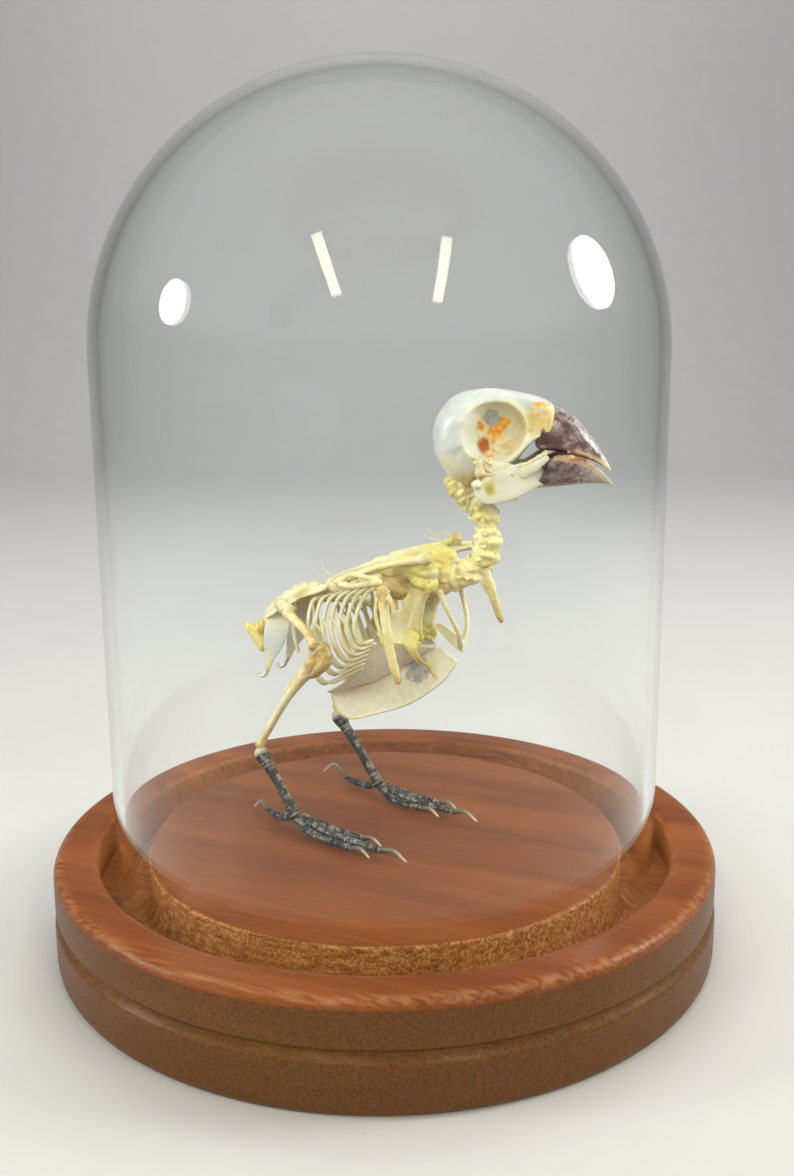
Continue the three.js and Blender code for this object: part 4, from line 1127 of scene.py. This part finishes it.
def scaly_skin():
    """Dry scaly skin: near-black to slate scales with whitish worn edges, and paler skin where marked."""
    f = Finish("scaly_skin", Coat_Roughness=0.35, IOR=1.5, Specular_IOR_Level=0.3)
    cloud, fine = f.noise(0.8, 4), f.noise(5, 4)
    slates = (0.38, (0.003, 0.003, 0.004)), (0.52, (0.014, 0.014, 0.016)), (0.68, (0.085, 0.083, 0.082))
    f.colour = f.ramp(cloud * 0.55 + fine * 0.45, *slates)
    pale = f.mark("edge") * 0.75 + (cloud - 0.5) * 1.5 + (fine - 0.5) * 1.2
    f.lay(pale.between(0.42, 0.85) * 0.55, (0.5, 0.48, 0.44))
    f.lay((f.mark("paler") + (cloud - 0.5) * 1.2).between(0.45, 0.95) * 0.7, (0.4, 0.355, 0.27))
    f.lay((f.mark("ankle") + (fine - 0.5) * 0.6).between(0.3, 0.8), (0.52, 0.48, 0.36))
    return f.done(
        Roughness=0.36 + fine * 0.28,
        Coat_Weight=cloud * 0.2,
        Normal=f.bump(fine * 0.5 + cloud * 0.3 + f.mark("edge") * 0.4, 0.6, 0.14),
    )


def claw_horn():
    """Claw horn: near black at the root, pale brown at the tip."""
    f = Finish(
        "claw_horn", Coat_Roughness=0.2, IOR=1.54, Subsurface_Weight=0.08, Subsurface_Scale=0.0005
    )
    streak = f.noise(2.2, 4)
    browns = (0.25, (0.035, 0.028, 0.024)), (0.55, (0.13, 0.095, 0.065)), (0.95, (0.6, 0.47, 0.33))
    f.colour = f.ramp(f.mark("share") * 0.7 + streak * 0.5, *browns)
    dents = f.bump(streak, 0.3, 0.08)
    return f.done(Roughness=0.3 + streak * 0.2, Coat_Weight=streak * 0.6, Normal=dents)


def scales(count, strength):
    """Overlapping rings: the thickness climbs over each scale and steps back at its edge."""
    return lambda t: 1 + strength * ((t * count) % 1 - 0.5)


def scale_edge(count, high):
    """A mark on the last fifth of each scale."""
    return lambda t, a: ((t * count) % 1 > 0.8) * high


def toe_way(side, foot, turn, across, hind):
    """The toe's way over the base: a function of a distance from its joint and a height."""
    angle = FOOT_TURN + np.radians(turn if hind else -side * turn)
    aside = np.array([-np.sin(FOOT_TURN), np.cos(FOOT_TURN)])
    start = foot[:2] * (1, side) + (0, MIDDLE) - aside * side * across
    clear = 1.5 if hind else 1.2
    return lambda d, z: np.array([*(start + np.array([np.cos(angle), np.sin(angle)]) * (d + clear)), z])


foot_skin, nail_horn = scaly_skin(), claw_horn()
for name, side in SIDES.items():
    ankle, foot = np.array(LEG[name][1:], float)
    rings = scales(SHANK_SCALES, 0.05)
    shank = bone(
        side, [past(ankle, foot, -0.1), between(ankle, foot, 0.5) + (0.25, 0, 0), past(foot, ankle, 0.1)],
        lambda t, a: along(t, SHANK_WIDE) * rings(t), lambda t, a: along(t, SHANK_DEEP) * rings(t),
        (150, 24), (0.07, 1.2, 230),
        edge=scale_edge(SHANK_SCALES, 0.9), ankle=bells((1, 0, 0.1)),
        paler=lambda t, a: 0.6 * (np.sin(a) < 0),
    )
    piece(name + "_shank", [shank], foot_skin, ["tarsus_" + name])
    for toe, (turn, across, thick, arch, seed, *lengths) in TOES.items():
        length, claw = lengths[side < 0]
        at = toe_way(side, foot, turn, across, toe == "hallux")
        low, count = PLATEAU + 0.3 + thick, int(length * 1.5)
        rings = scales(count, 0.14)

        def pads(t, a):
            """Pads that thin towards the claw, ringed with scales."""
            return thick * (0.86 + 0.2 * np.cos(3 * np.pi * t) ** 2) * (1 - 0.25 * t**3) * rings(t)

        def flatter(t, a):
            """The same, with its rings twice as high on one face and gone from the other."""
            return pads(t, a) * (1 + 0.96 * np.sign(np.sin(a)) * (rings(t) - 1)) * 0.95

        root = bird(foot + (0.2, -0.45 * across, 0.5), side)
        toe_skin = carried(
            [root, at(length * 0.3, low + 0.25), at(length * 0.66, low), at(length - 0.2, low + 0.1)],
            pads, flatter, (24 + 6 * count, 20), (0.08, 1.1, seed),
            edge=scale_edge(count, 1), paler=lambda t, a: 0.55 * (np.sin(a) < -0.3),
        )
        piece(name + "_" + toe + "_skin", [toe_skin], foot_skin, [toe + "_" + name])
        bent, tip = at(length + claw * 0.5, low + claw * arch), at(length + claw, PLATEAU + 0.55)
        nail = carried(
            [at(length + 0.1, low), bent, tip], lambda t, a: thick * 0.5 * (1 - t) ** 0.75 + 0.11,
            lambda t, a: thick * 0.62 * (1 - t) ** 0.7 + 0.11, (40, 16), (0.03, 1.5, 260), share=(0, 1),
        )
        piece(name + "_" + toe + "_nail", [nail], nail_horn, [toe + "_claw_" + name])


# ---- the floor, the lamps and the view ----
# A pale paper sweep, soft boxes either side and above, and a long lens a little above the dome's middle.
VIEW_FROM = (0.0817, -0.18349, 0.10364)  # metres
VIEW_HEADING, VIEW_DOWN, VIEW_ROLL = np.radians(24) - 0.013, 0.192, 0.008
LENS_MM = 34.1
WORLD_COLOUR, WORLD_STRENGTH = (0.8, 0.84, 0.9, 1), 0.2
MID = (0, 0, 0.07)  # what the lamps face
WHITE, WARM, STRIP = (1, 1, 1), (1, 0.98, 0.95), (1, 0.94, 0.7)
# to the right of the foot, beyond it and above it in metres; width, height, power, colour, lean
# round its own axis, whether the glass mirrors it, and what it faces
LAMPS = {
    "left_disc": ((-0.555, -0.1, 0.26), 0.13, 0.13, 0.9, WHITE, 0, True, MID),
    "right_disc": ((0.54, 0, 0.32), 0.2, 0.2, 1.5, WARM, 0, True, MID),
    "left_strip": ((-0.166, -0.47, 0.41), 0.035, 0.24, 0.6, STRIP, 0.42, True, MID),
    "right_strip": ((0.214, -0.466, 0.392), 0.035, 0.24, 0.6, STRIP, -0.3, True, MID),
    "left_box": ((-0.55, -0.35, 0.55), 0.4, 0.5, 1.3, WHITE, 0, False, MID),
    "right_box": ((0.55, -0.45, 0.5), 0.4, 0.4, 0.8, (1, 0.97, 0.93), 0, False, MID),
    "top_box": ((0.05, 0.15, 0.8), 0.6, 0.6, 2.2, WHITE, 0, False, MID),
    "back_box": ((0, 0.5, 1.1), 0.8, 0.5, 5, WHITE, 0, False, (-0.5, 1.2, 0.5)),
}


def round_view(points):
    """Points to the right of, beyond and above the object's foot, as the viewer sees it."""
    c, s = np.cos(VIEW_HEADING), np.sin(VIEW_HEADING)
    right, away, up = np.moveaxis(np.asarray(points, float), -1, 0)
    return np.stack([right * c - away * s, right * s + away * c, up], -1)


def paper():
    """Pale matt paper with a barely seen mottle."""
    f = Finish("pale_paper", IOR=1.45)
    mottle = f.noise(0.05, 4)
    f.colour = f.mix(mottle, (0.7, 0.69, 0.67), (0.74, 0.73, 0.71))
    return f.done(Roughness=0.7 + mottle * 0.2)


def sweep():
    """A floor that bends up behind the object: rows run from front to back, level and then along a
    quarter circle and up."""
    v, x = np.linspace(0, 1, 60)[:, None], np.linspace(-4, 4, 8)[None, :]
    bend = ((v - 0.5) / 0.25).clip(0, 1) * np.pi / 2
    y = np.interp(v, [0, 0.5], [-3, 0.9]) + 0.5 * np.sin(bend)
    z = 0.5 * (1 - np.cos(bend)) + (v - 0.75).clip(0, 1) * 6
    return skin(round_view(np.stack(np.broadcast_arrays(x, y, z), -1)) * 1000, closed=False)


def put(made, right, ahead, place, lean):
    """Adds an object to the scene at a place, looking ahead, leaned over by an angle."""
    up = np.cross(right, ahead)
    c, s = np.cos(lean), np.sin(lean)
    rows = np.eye(4)
    rows[:3] = np.array([c * right + s * up, c * up - s * right, -ahead, place]).T
    made.matrix_world = Matrix(rows.tolist())
    bpy.context.scene.collection.objects.link(made)


mesh_object("paper_sweep", [sweep()], paper())
for name, (place, width, height, power, colour, lean, shine, look_at) in LAMPS.items():
    light = bpy.data.lights.new(name, "AREA")
    light.shape = "DISK" if width == height else "RECTANGLE"
    light.size, light.size_y, light.energy, light.color = width, height, power, colour
    held = bpy.data.objects.new(name, light)
    held.visible_glossy = held.visible_transmission = shine
    place = round_view(place)
    ahead = (look_at - place) / np.linalg.norm(look_at - place)
    right = np.cross(ahead, UP)
    put(held, right / np.linalg.norm(right), ahead, place, lean)

world = bpy.data.worlds.new("studio")
world.use_nodes = True
background = world.node_tree.nodes["Background"].inputs
background[0].default_value, background[1].default_value = WORLD_COLOUR, WORLD_STRENGTH
bpy.context.scene.world = world
bpy.context.scene.view_settings.view_transform = "Standard"

camera = bpy.data.cameras.new("view")
camera.lens, camera.sensor_width, camera.clip_start = LENS_MM, 36, 0.01
viewer = bpy.data.objects.new("view", camera)
ahead = round_view((0, np.cos(VIEW_DOWN), -np.sin(VIEW_DOWN)))
put(viewer, round_view(AHEAD), ahead, VIEW_FROM, -VIEW_ROLL)
bpy.context.scene.camera = viewer
